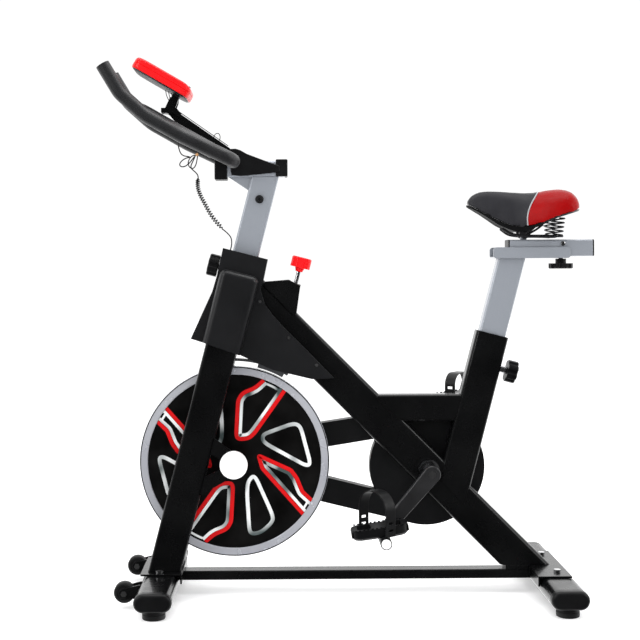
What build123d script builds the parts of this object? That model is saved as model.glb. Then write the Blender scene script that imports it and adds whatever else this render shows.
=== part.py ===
from build123d import *
import os
from math import acos, atan2, cos, hypot, pi, radians, sin

# Indoor cycling bike. Millimetres, +Z up, the rider faces -X, the belt drive is on the +Y side.
# The origin is on the floor, midway along and across the whole bike.

# ---------------------------------------------------------------- driving dimensions
BAR_HALF = 225.0            # half length of each floor bar, over its end caps
BAR_DEEP = 80.0             # flat-oval section of the floor bars
BAR_TALL = 40.0
BAR_WALL = 3.0
BAR_Z = 39.5                # height of the floor bars' centre line
FRONT_BAR_X = -425.0
REAR_BAR_X = 450.0
CAP_LENGTH = 20.0
FOOT_Y = 190.0
FOOT_RADIUS = 25.0
FOOT_TALL = 19.0
FOOT_STUD = 5.0

STEER_LEAN = 14.6           # fork, head tube and handlebar post lean back by this
STEER_FOOT = (-417.5, 57.0) # where their common axis meets the front bracket
LEG_DEEP = 72.0
LEG_INNER = 25.0            # the fork legs run from here ...
LEG_OUTER = 61.0            # ... to here, either side of the flywheel
LEG_TOP = 665.0             # along the axis from STEER_FOOT
HEAD_LOW = 516.0
HEAD_HIGH = 728.0
HEAD_DEEP = 76.0
HEAD_WIDE = 50.0

SEAT_LEAN = 14.7
SEAT_TOP = (327.2, 587.0)   # centre of the seat tube's upper mouth
SEAT_DEEP = 74.0
SEAT_WIDE = 44.0
TUBE_WALL = 3.0

POST_DEEP = 60.0            # both posts, handlebar and seat
POST_WIDE = 35.0
POST_WALL = 2.5
POST_GAP = 0.3              # sliding gap between a post and its bush, on each side
POST_CORNER = 6.0

DIAGONAL_FOOT = (404.9, 56.0)
DIAGONAL_FALL = 45.2        # degrees below level, going rearwards
DIAGONAL_DEEP = 80.0
FRAME_WIDE = 40.0           # diagonal, level tube, bottom rail and brake housing
LEVEL_TUBE_Z = (390.0, 451.0)
RAIL_Z = (34.0, 55.0)

WHEEL_CENTRE = (-259.5, 302.0)
WHEEL_RADIUS = 215.0
RIM_INNER = 196.5
RIM_HALF = 14.0
DISC_HALF = 11.0
AXLE_RADIUS = 6.0
SMALL_PULLEY = 31.0

CRANK_CENTRE = (178.5, 282.0)
CRANK_LENGTH = 170.0
CRANK_DROP = 49.5           # the left crank points forwards and this far below level
CRANK_INNER = 78.0
CRANK_OUTER = 92.0
SPINDLE_RADIUS = 8.5
BIG_PULLEY = 104.0
BELT_Y = (38.0, 50.0)
BELT_THICK = 3.0
GUARD_Y = (24.0, 54.5)
GUARD_RADIUS = 135.0
GUARD_NOSE = 50.0
RUNNING = 0.05              # radial clearance of a turning or sliding shaft

PEDAL_AXLE = 7.0
PEDAL_TILT = 8.0            # the pedals' rear ends stand up by this at rest
BARREL_RADIUS = 12.5
BARREL_Y = (97.0, 187.0)
CAGE_X = (-69.0, 54.0)      # from the pedal's axle, rearwards
CAGE_Y = (103.0, 168.0)
CAGE_Z = (9.0, 31.0)        # above the axle
STRAP_INNER = (-42.0, 103.0)  # middle of each strap leg: behind the axle, and out from the bike's middle
STRAP_OUTER = (10.0, 176.0)
STRAP_WIDE = 26.0
STRAP_THICK = 2.5
STRAP_LOW = 13.0            # foot of each leg, above the axle
STRAP_TOP_LEFT = 106.0
STRAP_TOP_RIGHT = 76.0

KNOB_RADIUS = 27.0
KNOB_TALL = 23.0

GRIP_RADIUS = 16.0
BAR_RADIUS = 12.5
TUBE_BORE = 10.5            # inside radius of the main bar
LOOP_RADIUS = 11.0
GRIP_Y = 76.0
LOOP_Y = 38.0
CROSS_BAR = (-257.0, 979.0) # the handlebar's cross piece, through the stem
CORNER_BEND = 26.0          # where its arms turn forwards
FOAM_START_Y = 49.4         # the arms' foam starts on the cross piece, this far out

CONSOLE_LONG = 146.0
CONSOLE_WIDE = 120.0
CONSOLE_THICK = 30.0
CONSOLE_TILT = 30.3
CONSOLE_CENTRE = (-416.2, 1168.5)
CONSOLE_PIVOT = (-393.0, 1120.0)

SCREEN = (90.0, 76.0)       # display window, along and across
BUTTON_X = 54.0             # from the console's middle, rearwards
SPLIT_Z = -10.0             # where the console's two shells meet, from its middle

CORD_RADIUS = 1.1
COIL_RADIUS = 5.5
HANK_CENTRE = (-361.0, 981.0)
HANK_SIZE = (38.0, 32.0)    # space of the lead's tied slack
LEAD_ROUTE = [(-392, 0, 1072.5), (-391, 0, 1056), (-386, 0, 1036), (-383, -2, 1014), (-376, -4, 994)]
HANK_EXIT_ROUTE = [(-353, -6, 968), (-342, -6, 957), (-338, -6, 944)]
COIL_ROUTE = [(-338, -6, 947), (-341, -6, 930), (-335, -6, 908), (-323, -6, 886), (-312, -6, 864),
              (-298, -6, 845), (-281, -5, 826)]
TAIL_ROUTE = [(-281, -5, 826), (-272, -4, 819), (-264, -3, 809), (-263, -2, 796), (-265, -2, 785),
              (-269, -3, 773)]

SHROUD_HALF = 40.0          # head cover, from the middle to its flat side
BULGE_HALF = 66.0           # and to the raised part over each fork leg
SHROUD_WALL = 3.0

CHANNEL_X = (328.5, 502.5)  # open channel on the saddle post
CHANNEL_Z = (758.0, 783.0)
SLIDER_X = (366.0, 553.5)
SLIDER_Z = (762.0, 800.0)
SLIDER_WIDE = 44.0
SADDLE_KNOB_X = 486.0
CLAMP = (401.0, 815.0)      # pivot of the saddle's clamp

BOTTOM = (Align.CENTER, Align.CENTER, Align.MIN)


# ---------------------------------------------------------------- helpers
def steer(along, ahead=0.0):
    """Point (x, z) on the steering axis, or ahead of it, square to the axis."""
    lean = radians(STEER_LEAN)
    x = STEER_FOOT[0] + along * sin(lean) - ahead * cos(lean)
    z = STEER_FOOT[1] + along * cos(lean) + ahead * sin(lean)
    return x, z


def seat(along, behind=0.0):
    """Point (x, z) on the seat axis above its tube's mouth, or behind it, square to the axis."""
    lean = radians(SEAT_LEAN)
    x = SEAT_TOP[0] + along * sin(lean) + behind * cos(lean)
    z = SEAT_TOP[1] + along * cos(lean) - behind * sin(lean)
    return x, z


def diagonal(along, above=0.0):
    """Point (x, z) on the diagonal's axis, along it up and forwards from its foot."""
    fall = radians(DIAGONAL_FALL)
    x = DIAGONAL_FOOT[0] - along * cos(fall) + above * sin(fall)
    z = DIAGONAL_FOOT[1] + along * sin(fall) + above * cos(fall)
    return x, z


def deep(point, y=0.0):
    """An (x, z) point placed at y."""
    return (point[0], y, point[1])


def plate(outline, y_low, y_high):
    """Outline of (x, z) points, run across the bike from y_low to y_high."""
    face = make_face(Polyline(*[(x, y_low, z) for x, z in outline], close=True))
    return extrude(face, amount=y_high - y_low, dir=(0, 1, 0))


def cross_bar(centre, radius, y_low, y_high):
    """Round bar across the bike."""
    plane = Plane(origin=deep(centre, y_low), x_dir=(1, 0, 0), z_dir=(0, 1, 0))
    return plane * Cylinder(radius, y_high - y_low, align=BOTTOM)


def bar(start, end, section):
    """Section (local x across the bike) run straight between two 3-D points."""
    axis = Vector(*end) - Vector(*start)
    return extrude(Plane(origin=start, x_dir=(0, 1, 0), z_dir=axis) * section, amount=axis.length)


def rod(start, end, radius):
    """Round bar between two 3-D points, in the X-Z plane or parallel to it."""
    return bar(start, end, Circle(radius))


def box_section(deep_size, wide_size, corner, wall):
    """Rounded tube section, hollow."""
    inner = RectangleRounded(wide_size - 2 * wall, deep_size - 2 * wall, max(corner - wall, 0.5))
    return RectangleRounded(wide_size, deep_size, corner) - inner


def two_disc_face(first, first_radius, second, second_radius):
    """Face in the X-Z plane: two discs and the straight sides that touch them both."""
    along = (second[0] - first[0], second[1] - first[1])
    gap = hypot(*along)
    base = atan2(along[1], along[0])
    spread = acos((first_radius - second_radius) / gap)
    corners = []
    for angle, order in ((base + spread, 1), (base - spread, -1)):
        normal = (cos(angle), sin(angle))
        pair = [(c[0] + r * normal[0], c[1] + r * normal[1])
                for c, r in ((first, first_radius), (second, second_radius))]
        corners += pair[::order]
    face = make_face(Polyline(*corners, close=True))
    for centre, radius in ((first, first_radius), (second, second_radius)):
        face += Pos(centre[0], centre[1]) * Circle(radius)
    return face


def run_across(face, y_low, y_high):
    """Flat face drawn as (x, z) run across the bike from y_low to y_high."""
    plane = Plane(origin=(0, y_high, 0), x_dir=(1, 0, 0), z_dir=(0, -1, 0))
    return extrude(plane * face, amount=y_high - y_low)


def mirror_y(shape):
    return mirror(shape, about=Plane.XZ)


def both_sides(shape):
    """The shape and its mirror image, as separate solids of one sub-part."""
    return shape + mirror_y(shape)


def lobed_knob(radius, tall, lobes=7):
    """Hand knob with rounded lobes, standing on local Z = 0 with its grip above."""
    body = Cylinder(radius - 2, tall, align=BOTTOM)
    for i in range(lobes):
        turn = 2 * pi * (i + 0.5) / lobes
        groove = Cylinder(radius * 0.24, tall, align=BOTTOM)
        body -= Pos((radius + 0.5) * cos(turn), (radius + 0.5) * sin(turn), 0) * groove
    return chamfer(body.faces().sort_by(Axis.Z)[-1].edges(), 2.0)


# ---------------------------------------------------------------- envelopes other parts are cut by
def steer_envelope(deep_size, wide_size, corner, low, high, grow=0.0):
    section = RectangleRounded(wide_size + 2 * grow, deep_size + 2 * grow, corner + grow)
    return bar(deep(steer(low)), deep(steer(high)), section)


def diagonal_envelope(grow=0.0):
    section = RectangleRounded(FRAME_WIDE + 2 * grow, DIAGONAL_DEEP + 2 * grow, 12 + grow)
    return bar(deep(diagonal(-90)), deep(diagonal(900)), section)


def seat_envelope():
    return bar(deep(seat(-480)), deep(seat(0)), RectangleRounded(SEAT_WIDE, SEAT_DEEP, 10))


def floor_bar_envelope(x):
    section = Plane(origin=(x, -BAR_HALF, BAR_Z), x_dir=(1, 0, 0), z_dir=(0, 1, 0))
    return extrude(section * SlotOverall(BAR_DEEP, BAR_TALL), amount=2 * BAR_HALF)


def brake_line(along):
    """Point (x, z) on the tension rod's axis, parallel to the steering axis."""
    lean = radians(STEER_LEAN)
    return -118.5 + along * sin(lean), 702.0 + along * cos(lean)


# ---------------------------------------------------------------- base
def stabilizers():
    """Two hollow flat-oval floor bars, drilled for the levelling studs."""
    bars = None
    for x in (FRONT_BAR_X, REAR_BAR_X):
        plane = Plane(origin=(x, -BAR_HALF + CAP_LENGTH, BAR_Z), x_dir=(1, 0, 0), z_dir=(0, 1, 0))
        section = SlotOverall(BAR_DEEP, BAR_TALL)
        section -= SlotOverall(BAR_DEEP - 2 * BAR_WALL, BAR_TALL - 2 * BAR_WALL)
        solid = extrude(plane * section, amount=2 * (BAR_HALF - CAP_LENGTH))
        for y in (-FOOT_Y, FOOT_Y):
            solid -= Pos(x, y, BAR_Z - BAR_TALL) * Cylinder(FOOT_STUD + RUNNING, BAR_TALL, align=BOTTOM)
        bars = solid if bars is None else bars + solid
    return bars


def stabilizer_caps():
    """Rounded plastic caps on the four bar ends."""
    caps = None
    for x in (FRONT_BAR_X, REAR_BAR_X):
        plane = Plane(origin=(x, BAR_HALF - CAP_LENGTH, BAR_Z), x_dir=(1, 0, 0), z_dir=(0, 1, 0))
        cap = extrude(plane * SlotOverall(BAR_DEEP + 1, BAR_TALL), amount=CAP_LENGTH)
        cap = fillet(cap.faces().sort_by(Axis.Y)[-1].edges(), 9)
        cap = both_sides(cap)
        caps = cap if caps is None else caps + cap
    return caps


def foot(x, y):
    """Levelling foot: a tapered rubber pad on a threaded stud."""
    pad = Cylinder(FOOT_RADIUS, 7, align=BOTTOM)
    pad += Pos(0, 0, 7) * Cone(FOOT_RADIUS - 1, FOOT_RADIUS - 8, FOOT_TALL - 7.5, align=BOTTOM)
    stud = Pos(0, 0, FOOT_TALL - 1) * Cylinder(FOOT_STUD, 14, align=BOTTOM)
    return Pos(x, y, 0) * (pad + stud)


def base_brackets():
    """Pressed plates that clamp the frame to the floor bars, and the transport wheels' forks."""
    top = BAR_Z + BAR_TALL / 2
    front = Pos(FRONT_BAR_X + 4, 0, top) * Box(92, 156, 4, align=BOTTOM)
    front += Pos(FRONT_BAR_X + 48, 0, top - 18) * Box(4, 156, 22, align=BOTTOM)
    rear = Pos(REAR_BAR_X - 8, 0, top) * Box(74, 230, 4, align=BOTTOM)
    rear += Pos(REAR_BAR_X - 43, 0, top - 18) * Box(4, 230, 22, align=BOTTOM)
    rear -= plate([(400, 30), (412, 30), (412, RAIL_Z[1]), (400, RAIL_Z[1])], -20, 20)
    front -= plate([(-384, 30), (-360, 30), (-360, RAIL_Z[1]), (-384, RAIL_Z[1])], -20, 20)
    brackets = front + rear
    for y in (-115.0, 115.0):
        for side in (-1, 1):
            ear = two_disc_face((-496.5, 36.0), 10, (-462.0, BAR_Z), 15)
            near = y + side * 14.5
            brackets += run_across(ear, near - 1.5, near + 1.5) - floor_bar_envelope(FRONT_BAR_X)
    return brackets - bolt_holes()


def bolt_places():
    """Centres of the four bracket bolts."""
    return [(FRONT_BAR_X, -70.0), (FRONT_BAR_X, 70.0), (REAR_BAR_X + 5, -78.0), (REAR_BAR_X + 5, 78.0)]


def bolt_holes():
    holes = None
    for x, y in bolt_places():
        hole = Pos(x, y, 40) * Cylinder(4, 40, align=BOTTOM)
        holes = hole if holes is None else holes + hole
    wheel_pins = cross_bar((-496.5, 36.0), 4, -140, 140)
    return holes + wheel_pins


def transport_wheel(y):
    """Small roller on the front of the base, turning on its bolt."""
    wheel = cross_bar((-496.5, 36.0), 23, y - 11, y + 11)
    wheel = fillet(wheel.edges().filter_by(GeomType.CIRCLE), 3)
    return wheel - cross_bar((-496.5, 36.0), 4 + RUNNING, y - 20, y + 20)


def bottom_rail():
    """Flat tube along the floor between the two bars."""
    low, high = RAIL_Z
    section = box_section(high - low, FRAME_WIDE, 4, 2)
    rail = bar((-400, 0, (low + high) / 2), (425, 0, (low + high) / 2), section)
    return rail - floor_bar_envelope(FRONT_BAR_X) - floor_bar_envelope(REAR_BAR_X)


# ---------------------------------------------------------------- main frame
def fork_legs():
    """Two legs beside the flywheel, each with the dropout plate that carries the axle."""
    middle = (LEG_INNER + LEG_OUTER) / 2
    section = box_section(LEG_DEEP, LEG_OUTER - LEG_INNER, 9, 2.5)
    leg = bar(deep(steer(-30), middle), deep(steer(LEG_TOP), middle), section)
    leg -= Pos(FRONT_BAR_X, 0, 0) * Box(400, 400, BAR_Z + BAR_TALL / 2 + 4, align=BOTTOM)
    upper, lower = steer(323, -35), steer(192, -35)
    outline = [upper, (WHEEL_CENTRE[0] + 4, WHEEL_CENTRE[1] + 24), (WHEEL_CENTRE[0] + 24, WHEEL_CENTRE[1]),
               (WHEEL_CENTRE[0] + 4, WHEEL_CENTRE[1] - 24), lower]
    dropout = plate(outline, 55.5, 60.5)
    window = [(-310, 326), (-282, 309), (-282, 295), (-322, 276)]
    dropout -= plate(window, 50, 65)
    dropout -= cross_bar(WHEEL_CENTRE, AXLE_RADIUS, 50, 65)
    return both_sides(leg + dropout)


def head_tube():
    """Square-cornered sleeve between the legs that guides the handlebar post."""
    section = box_section(HEAD_DEEP, HEAD_WIDE, 8, TUBE_WALL)
    tube = bar(deep(steer(HEAD_LOW)), deep(steer(HEAD_HIGH)), section)
    return tube - pin_hole(steer, 696.0)


def pin_hole(axis, along):
    """Round hole for a pull pin, through a sleeve's pinned face."""
    return rod(deep(axis(along, 15)), deep(axis(along, 60)), 8)


def post_bush(axis, low, high, deep_size, wide_size, corner):
    """Plastic liner between a sleeve and the post that slides in it."""
    outer = RectangleRounded(wide_size, deep_size, corner)
    inner = RectangleRounded(POST_WIDE + 2 * POST_GAP, POST_DEEP + 2 * POST_GAP, POST_CORNER + POST_GAP)
    return bar(deep(axis(low)), deep(axis(high)), outer - inner)


def post_bushes():
    head = post_bush(steer, HEAD_HIGH - 150, HEAD_HIGH, HEAD_DEEP - 2 * TUBE_WALL, HEAD_WIDE - 2 * TUBE_WALL, 5)
    saddle = post_bush(seat, -150, 0, SEAT_DEEP - 2 * TUBE_WALL, SEAT_WIDE - 2 * TUBE_WALL, 7)
    return head - pin_hole(steer, 696.0) + (saddle - pin_hole(seat, -73.0))


def diagonal_tube():
    """Main tube from the head down to the rear floor bar."""
    section = box_section(DIAGONAL_DEEP, FRAME_WIDE, 12, TUBE_WALL)
    tube = bar(deep(diagonal(-90)), deep(diagonal(900)), section)
    tube -= Pos(450, 0, -200) * Box(900, 400, 264, align=BOTTOM)
    tube -= steer_envelope(HEAD_DEEP, HEAD_WIDE, 8, 400, 1200)
    tube -= Pos(-350, 0, 500) * Box(200, 400, 600, align=BOTTOM)
    tube -= cross_bar(CRANK_CENTRE, 24, -60, 60)
    return tube - rod(deep(brake_line(-200)), deep(brake_line(60)), 12)


def seat_tube():
    """Leaning sleeve for the saddle post, standing on the diagonal."""
    tube = bar(deep(seat(-480)), deep(seat(0)), box_section(SEAT_DEEP, SEAT_WIDE, 10, TUBE_WALL))
    below = [diagonal(-200), diagonal(900), (-400, -300), (800, -300)]
    return tube - diagonal_envelope() - plate(below, -60, 60) - pin_hole(seat, -73.0)


def level_tube():
    """Level tube that ties the diagonal to the seat tube."""
    low, high = LEVEL_TUBE_Z
    middle = (low + high) / 2
    tube = bar((60, 0, middle), (290, 0, middle), box_section(high - low, FRAME_WIDE, 8, 2.5))
    below = [diagonal(-200), diagonal(900), (-400, -300), (800, -300)]
    behind = [seat(-480), seat(100), (900, 700), (900, 0)]
    return tube - diagonal_envelope() - plate(below, -60, 60) - seat_envelope() - plate(behind, -60, 60)


def rear_gusset():
    """Packing block that carries the diagonal's cut foot on the bottom rail."""
    return plate([(352, RAIL_Z[1]), (405, RAIL_Z[1]), (405, 64), (352, 64)], -20, 20)


def bottom_bracket():
    """Chromed crank housing with its two bearing rings."""
    shell = cross_bar(CRANK_CENTRE, 24, -34, 34) - cross_bar(CRANK_CENTRE, 19, -34, 34)
    ring = cross_bar(CRANK_CENTRE, 19, 24, 34) + cross_bar(CRANK_CENTRE, 21, 34, 37)
    ring -= cross_bar(CRANK_CENTRE, SPINDLE_RADIUS + RUNNING, 20, 40)
    return shell + both_sides(ring)


def hub_caps():
    """Round covers over the flywheel axle's nuts, outside the dropouts."""
    cap = cross_bar(WHEEL_CENTRE, 31, 60.5, 72)
    cap = fillet(cap.faces().sort_by(Axis.Y)[-1].edges(), 4)
    return both_sides(cap - cross_bar(WHEEL_CENTRE, 12, 60, 69))


def frame_fasteners():
    """Bolts, screws, pins and pull-pin collars that stay with the frame."""
    kit = cross_bar(WHEEL_CENTRE, AXLE_RADIUS, -67, 67)
    kit += both_sides(run_across(Pos(*WHEEL_CENTRE) * RegularPolygon(10, 6), 60.5, 66))
    kit += cross_bar(brake_pivot(), 4, -LEG_INNER, LEG_INNER)
    for x, y in bolt_places():
        head = Pos(x, y, BAR_Z + BAR_TALL / 2 + 4) * extrude(RegularPolygon(8, 6), amount=6)
        kit += head + Pos(x, y, BAR_Z + BAR_TALL / 2) * Cylinder(4, 6, align=BOTTOM)
    for y in (-115.0, 115.0):
        kit += cross_bar((-496.5, 36.0), 4, y - 16, y + 16)
        for side in (-1, 1):
            place = Pos(-496.5, 36.0) * RegularPolygon(7, 6)
            kit += run_across(place, min(y + side * 16, y + side * 20), max(y + side * 16, y + side * 20))
    for place in shroud_screw_places():
        kit += both_sides(cross_bar(place, 3.5, SHROUD_HALF, SHROUD_HALF + 2))
    for place in guard_screw_places():
        kit += cross_bar(place, 3.5, GUARD_Y[1], GUARD_Y[1] + 2)
    for axis, along, half in ((steer, 696.0, HEAD_DEEP / 2), (seat, -73.0, SEAT_DEEP / 2)):
        collar = rod(deep(axis(along, half - 6)), deep(axis(along, half + 15)), 8)
        kit += collar - rod(deep(axis(along, 20)), deep(axis(along, 80)), 5 + RUNNING)
    return kit


# ---------------------------------------------------------------- shroud
def shroud_screw_places():
    return [(-199, 664), (-135, 583), (-73, 521)]


def shroud_outline():
    """Side view of the head cover: collar, flared front, and the wing along the diagonal."""
    return [steer(739, 51.8), steer(739, -51.8), (-191.4, 711), (-197.4, 693), (-188.9, 658.6),
            (-169.9, 632.2), (-138.7, 598.5), (-91, 550.4), (-33.7, 491), (-83.5, 489.5), (-172.5, 511),
            (-254.5, 549), (-355.1, 582), (-306, 688), (-295.3, 723.8)]


def shroud_cavity():
    """Inside of the cover, open along its lower edge."""
    return [steer(736, 48.5), steer(736, -48.5), (-194, 711), (-200.5, 693), (-192, 657), (-172.5, 630),
            (-141, 596), (-93, 547.5), (-44, 498), (-40, 440), (-172.5, 440), (-360, 520), (-351, 582),
            (-302.5, 688), (-292, 723)]


def shroud_half():
    """One half of the moulded cover, on the +Y side, with the raised cap over its fork leg."""
    bulge_section = RectangleRounded(2 * (BULGE_HALF - 5), LEG_DEEP + 10, 14)
    bulge = bar(deep(steer(480)), deep(steer(694)), RectangleRounded(2 * BULGE_HALF, LEG_DEEP + 16, 16))
    bulge = fillet(bulge.faces().sort_by(Axis.Z)[-1].edges(), 14)
    skirt = [(-420, 440), (-420, 607.4), (-254.5, 549), (-172.5, 511), (-40, 440)]
    shell = plate(shroud_outline(), 0.2, SHROUD_HALF)
    shell += (bulge - plate(skirt, -90, 90)) & Pos(0, 0.2, 0) * Box(2000, 200, 2000, align=(
        Align.CENTER, Align.MIN, Align.CENTER))
    shell -= plate(shroud_cavity(), -1, SHROUD_HALF - SHROUD_WALL)
    shell -= bar(deep(steer(440)), deep(steer(689)), bulge_section)
    shell -= steer_envelope(POST_DEEP + 6, POST_WIDE + 6, 6, 700, 800)
    shell -= bar(deep(steer(700, 30)), deep(steer(800, 30)), RectangleRounded(18, 24, 4))
    shell -= diagonal_envelope(0.3)
    shell -= plate(brake_box_outline(0.4), -1, FRAME_WIDE / 2 + 0.4)
    return shell - rod(deep(steer(696, 30)), deep(steer(696, 80)), 8.3)


# ---------------------------------------------------------------- brake
def brake_box_outline(grow=0.0):
    top = [(-187 - grow, 709 + grow), (-134, 713 + grow), (-108 + grow, 699 + grow), (-117 + grow, 636)]
    return top + [(-140, 620), (-200, 690)]


def brake_housing():
    """Box on the diagonal, with the tube that guides the tension rod down to the flywheel."""
    box = plate(brake_box_outline(), -FRAME_WIDE / 2, FRAME_WIDE / 2)
    box = fillet(box.edges().filter_by(Axis.Y, reverse=True).sort_by(Axis.Z)[-6:], 2)
    guide = rod(deep(brake_line(-150)), deep(brake_line(2)), 12)
    housing = (box - diagonal_envelope()) + guide - steer_envelope(HEAD_DEEP, HEAD_WIDE, 8, 400, 1200)
    return housing - rod(deep(brake_line(-200)), deep(brake_line(60)), 5 + RUNNING)


def brake_rod():
    """Threaded tension rod under the resistance knob."""
    return rod(deep(brake_line(-189)), deep(brake_line(40)), 5)


def resistance_knob():
    plane = Plane(origin=deep(brake_line(39)), x_dir=(0, 1, 0), z_dir=Vector(*deep(brake_line(1)))
                  - Vector(*deep(brake_line(0))))
    knob = plane * (lobed_knob(25, 24, 6) + Pos(0, 0, -9) * Cone(8, 11, 9.2, align=BOTTOM))
    return knob - rod(deep(brake_line(0)), deep(brake_line(40.3)), 5 + RUNNING)


def brake_pivot():
    angle = radians(92)
    return WHEEL_CENTRE[0] + 236 * cos(angle), WHEEL_CENTRE[1] + 236 * sin(angle)


def ring_sector(inner, outer, start_deg, end_deg, y_half):
    """Piece of a ring around the flywheel, between two angles from level."""
    ring = cross_bar(WHEEL_CENTRE, outer, -y_half, y_half) - cross_bar(WHEEL_CENTRE, inner, -y_half, y_half)
    far = outer * 1.6
    wedge = [WHEEL_CENTRE] + [(WHEEL_CENTRE[0] + far * cos(radians(a)), WHEEL_CENTRE[1] + far * sin(radians(a)))
                              for a in (start_deg, end_deg)]
    return ring & plate(wedge, -y_half, y_half)


def brake_arm():
    """Curved arm on the fork crown that presses a felt block on the flywheel's rim."""
    arm = ring_sector(227, 232, 58, 92, 11)
    arm += ring_sector(218, 227, 60, 76, 11)
    arm += cross_bar(brake_pivot(), 9, -11, 11)
    return arm - cross_bar(brake_pivot(), 4 + RUNNING, -20, 20)


# ---------------------------------------------------------------- drive
def flywheel_rim():
    rim = cross_bar(WHEEL_CENTRE, WHEEL_RADIUS, -RIM_HALF, RIM_HALF)
    rim -= cross_bar(WHEEL_CENTRE, RIM_INNER, -RIM_HALF, RIM_HALF)
    return chamfer(rim.edges().filter_by(GeomType.CIRCLE), 1.5)


def flywheel_disc():
    disc = cross_bar(WHEEL_CENTRE, RIM_INNER, -DISC_HALF, DISC_HALF)
    return disc - cross_bar(WHEEL_CENTRE, 22, -30, 30)


def flywheel_hub():
    """Hub barrel with the small belt pulley on the drive side."""
    hub = cross_bar(WHEEL_CENTRE, 22, -30, 36) + cross_bar(WHEEL_CENTRE, 14, -52, 52)
    hub += cross_bar(WHEEL_CENTRE, SMALL_PULLEY, 36.5, 51.5)
    groove = cross_bar(WHEEL_CENTRE, SMALL_PULLEY + 5, *BELT_Y) - cross_bar(
        WHEEL_CENTRE, SMALL_PULLEY - 1.5, *BELT_Y)
    return hub - groove - cross_bar(WHEEL_CENTRE, AXLE_RADIUS + RUNNING, -60, 60)


def belt_loop(grow):
    return two_disc_face(WHEEL_CENTRE, SMALL_PULLEY - 1.5 + grow, CRANK_CENTRE, BIG_PULLEY - 1.5 + grow)


def drive_belt():
    """Flat belt from the crank pulley to the flywheel pulley."""
    loop = run_across(belt_loop(BELT_THICK + 0.4), BELT_Y[0] + 0.5, BELT_Y[1] - 0.5)
    return loop - run_across(belt_loop(0.4), BELT_Y[0], BELT_Y[1])


def guard_body(grow, nose):
    return two_disc_face(WHEEL_CENTRE, nose, CRANK_CENTRE, GUARD_RADIUS + grow)


def guard_window(grow=0.0):
    """Opening between the two runs of the guard, in the X-Z plane, or grown by a wall."""
    slope = (CRANK_CENTRE[1] - WHEEL_CENTRE[1]) / (CRANK_CENTRE[0] - WHEEL_CENTRE[0])
    corners = []
    for x, half in ((-196.0 - grow, 5.0 + grow), (62.0, 58.0 + grow)):
        middle = WHEEL_CENTRE[1] + slope * (x - WHEEL_CENTRE[0])
        pair = [(x, middle - half), (x, middle + half)]
        corners += pair if not corners else pair[::-1]
    opening = make_face(Polyline(*corners, close=True))
    return opening - Pos(*CRANK_CENTRE) * Circle(GUARD_RADIUS - 6 - grow)


def guard_screw_places():
    x, z = CRANK_CENTRE
    rim = GUARD_RADIUS - 9
    return [(x + rim * cos(radians(a)), z + rim * sin(radians(a))) for a in (-60, -10, 40, 90)]


def chain_guard(inner_half):
    """One half of the belt cover: a flat side with a rim, split at the belt's centre line."""
    low, high = GUARD_Y
    split = (low + high) / 2
    wall = 2.5
    half = (low, split) if inner_half else (split, high)
    hollow_y = (low + wall, split) if inner_half else (split, high - wall)
    crank_hole, wheel_hole = (25, 24) if inner_half else (14, 16)
    shell = run_across(guard_body(0, GUARD_NOSE), *half)
    hollow = run_across(guard_body(-wall, GUARD_NOSE - wall), *hollow_y)
    hollow -= run_across(guard_window(wall), low, high)
    shell -= cross_bar(CRANK_CENTRE, crank_hole, low - 1, high + 1) + cross_bar(
        WHEEL_CENTRE, wheel_hole, low - 1, high + 1)
    return shell - hollow - run_across(guard_window(), low - 1, high + 1)


def crank_end(side):
    """Pedal eye (x, z) of the crank on one side: -1 left, 1 right."""
    drop = radians(CRANK_DROP)
    return (CRANK_CENTRE[0] + side * CRANK_LENGTH * cos(drop),
            CRANK_CENTRE[1] + side * CRANK_LENGTH * sin(drop))


def crank_axles():
    """Crank spindle, and the two pedal axles screwed into the cranks."""
    axles = cross_bar(CRANK_CENTRE, SPINDLE_RADIUS, -CRANK_OUTER - 1, CRANK_OUTER + 1)
    for side in (-1, 1):
        span = sorted((side * CRANK_INNER, side * (BARREL_Y[1] - 5)))
        axles += cross_bar(crank_end(side), PEDAL_AXLE, *span)
    return axles


def crank_pulley():
    """Large belt pulley, fixed on the crank spindle inside the guard."""
    pulley = cross_bar(CRANK_CENTRE, BIG_PULLEY, 37.5, 50.5)
    pulley -= cross_bar(CRANK_CENTRE, BIG_PULLEY + 5, *BELT_Y) - cross_bar(
        CRANK_CENTRE, BIG_PULLEY - 1.5, *BELT_Y)
    pulley += cross_bar(CRANK_CENTRE, 13, 50, CRANK_INNER)
    for i in range(5):
        turn = 2 * pi * i / 5
        place = (CRANK_CENTRE[0] + 62 * cos(turn), CRANK_CENTRE[1] + 62 * sin(turn))
        pulley -= cross_bar(place, 24, 30, 60)
    return pulley - cross_bar(CRANK_CENTRE, SPINDLE_RADIUS, 30, 90)


def cranks():
    """Left and right crank arms, opposite each other."""
    arms = None
    for side in (-1, 1):
        span = sorted((side * CRANK_INNER, side * CRANK_OUTER))
        arm = run_across(two_disc_face(CRANK_CENTRE, 19, crank_end(side), 13.5), *span)
        arm = fillet(arm.faces().sort_by(Axis.Y)[-1 if side > 0 else 0].edges(), 3)
        arm -= cross_bar(CRANK_CENTRE, SPINDLE_RADIUS, *span) + cross_bar(crank_end(side), PEDAL_AXLE, *span)
        arms = arm if arms is None else arms + arm
    return arms


def placed_pedal(shape, side):
    """Shape drawn about a right-hand pedal's axle, set on one crank: -1 left, 1 right."""
    x, z = crank_end(side)
    return Pos(x, 0, z) * (shape if side > 0 else mirror_y(shape))


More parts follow.
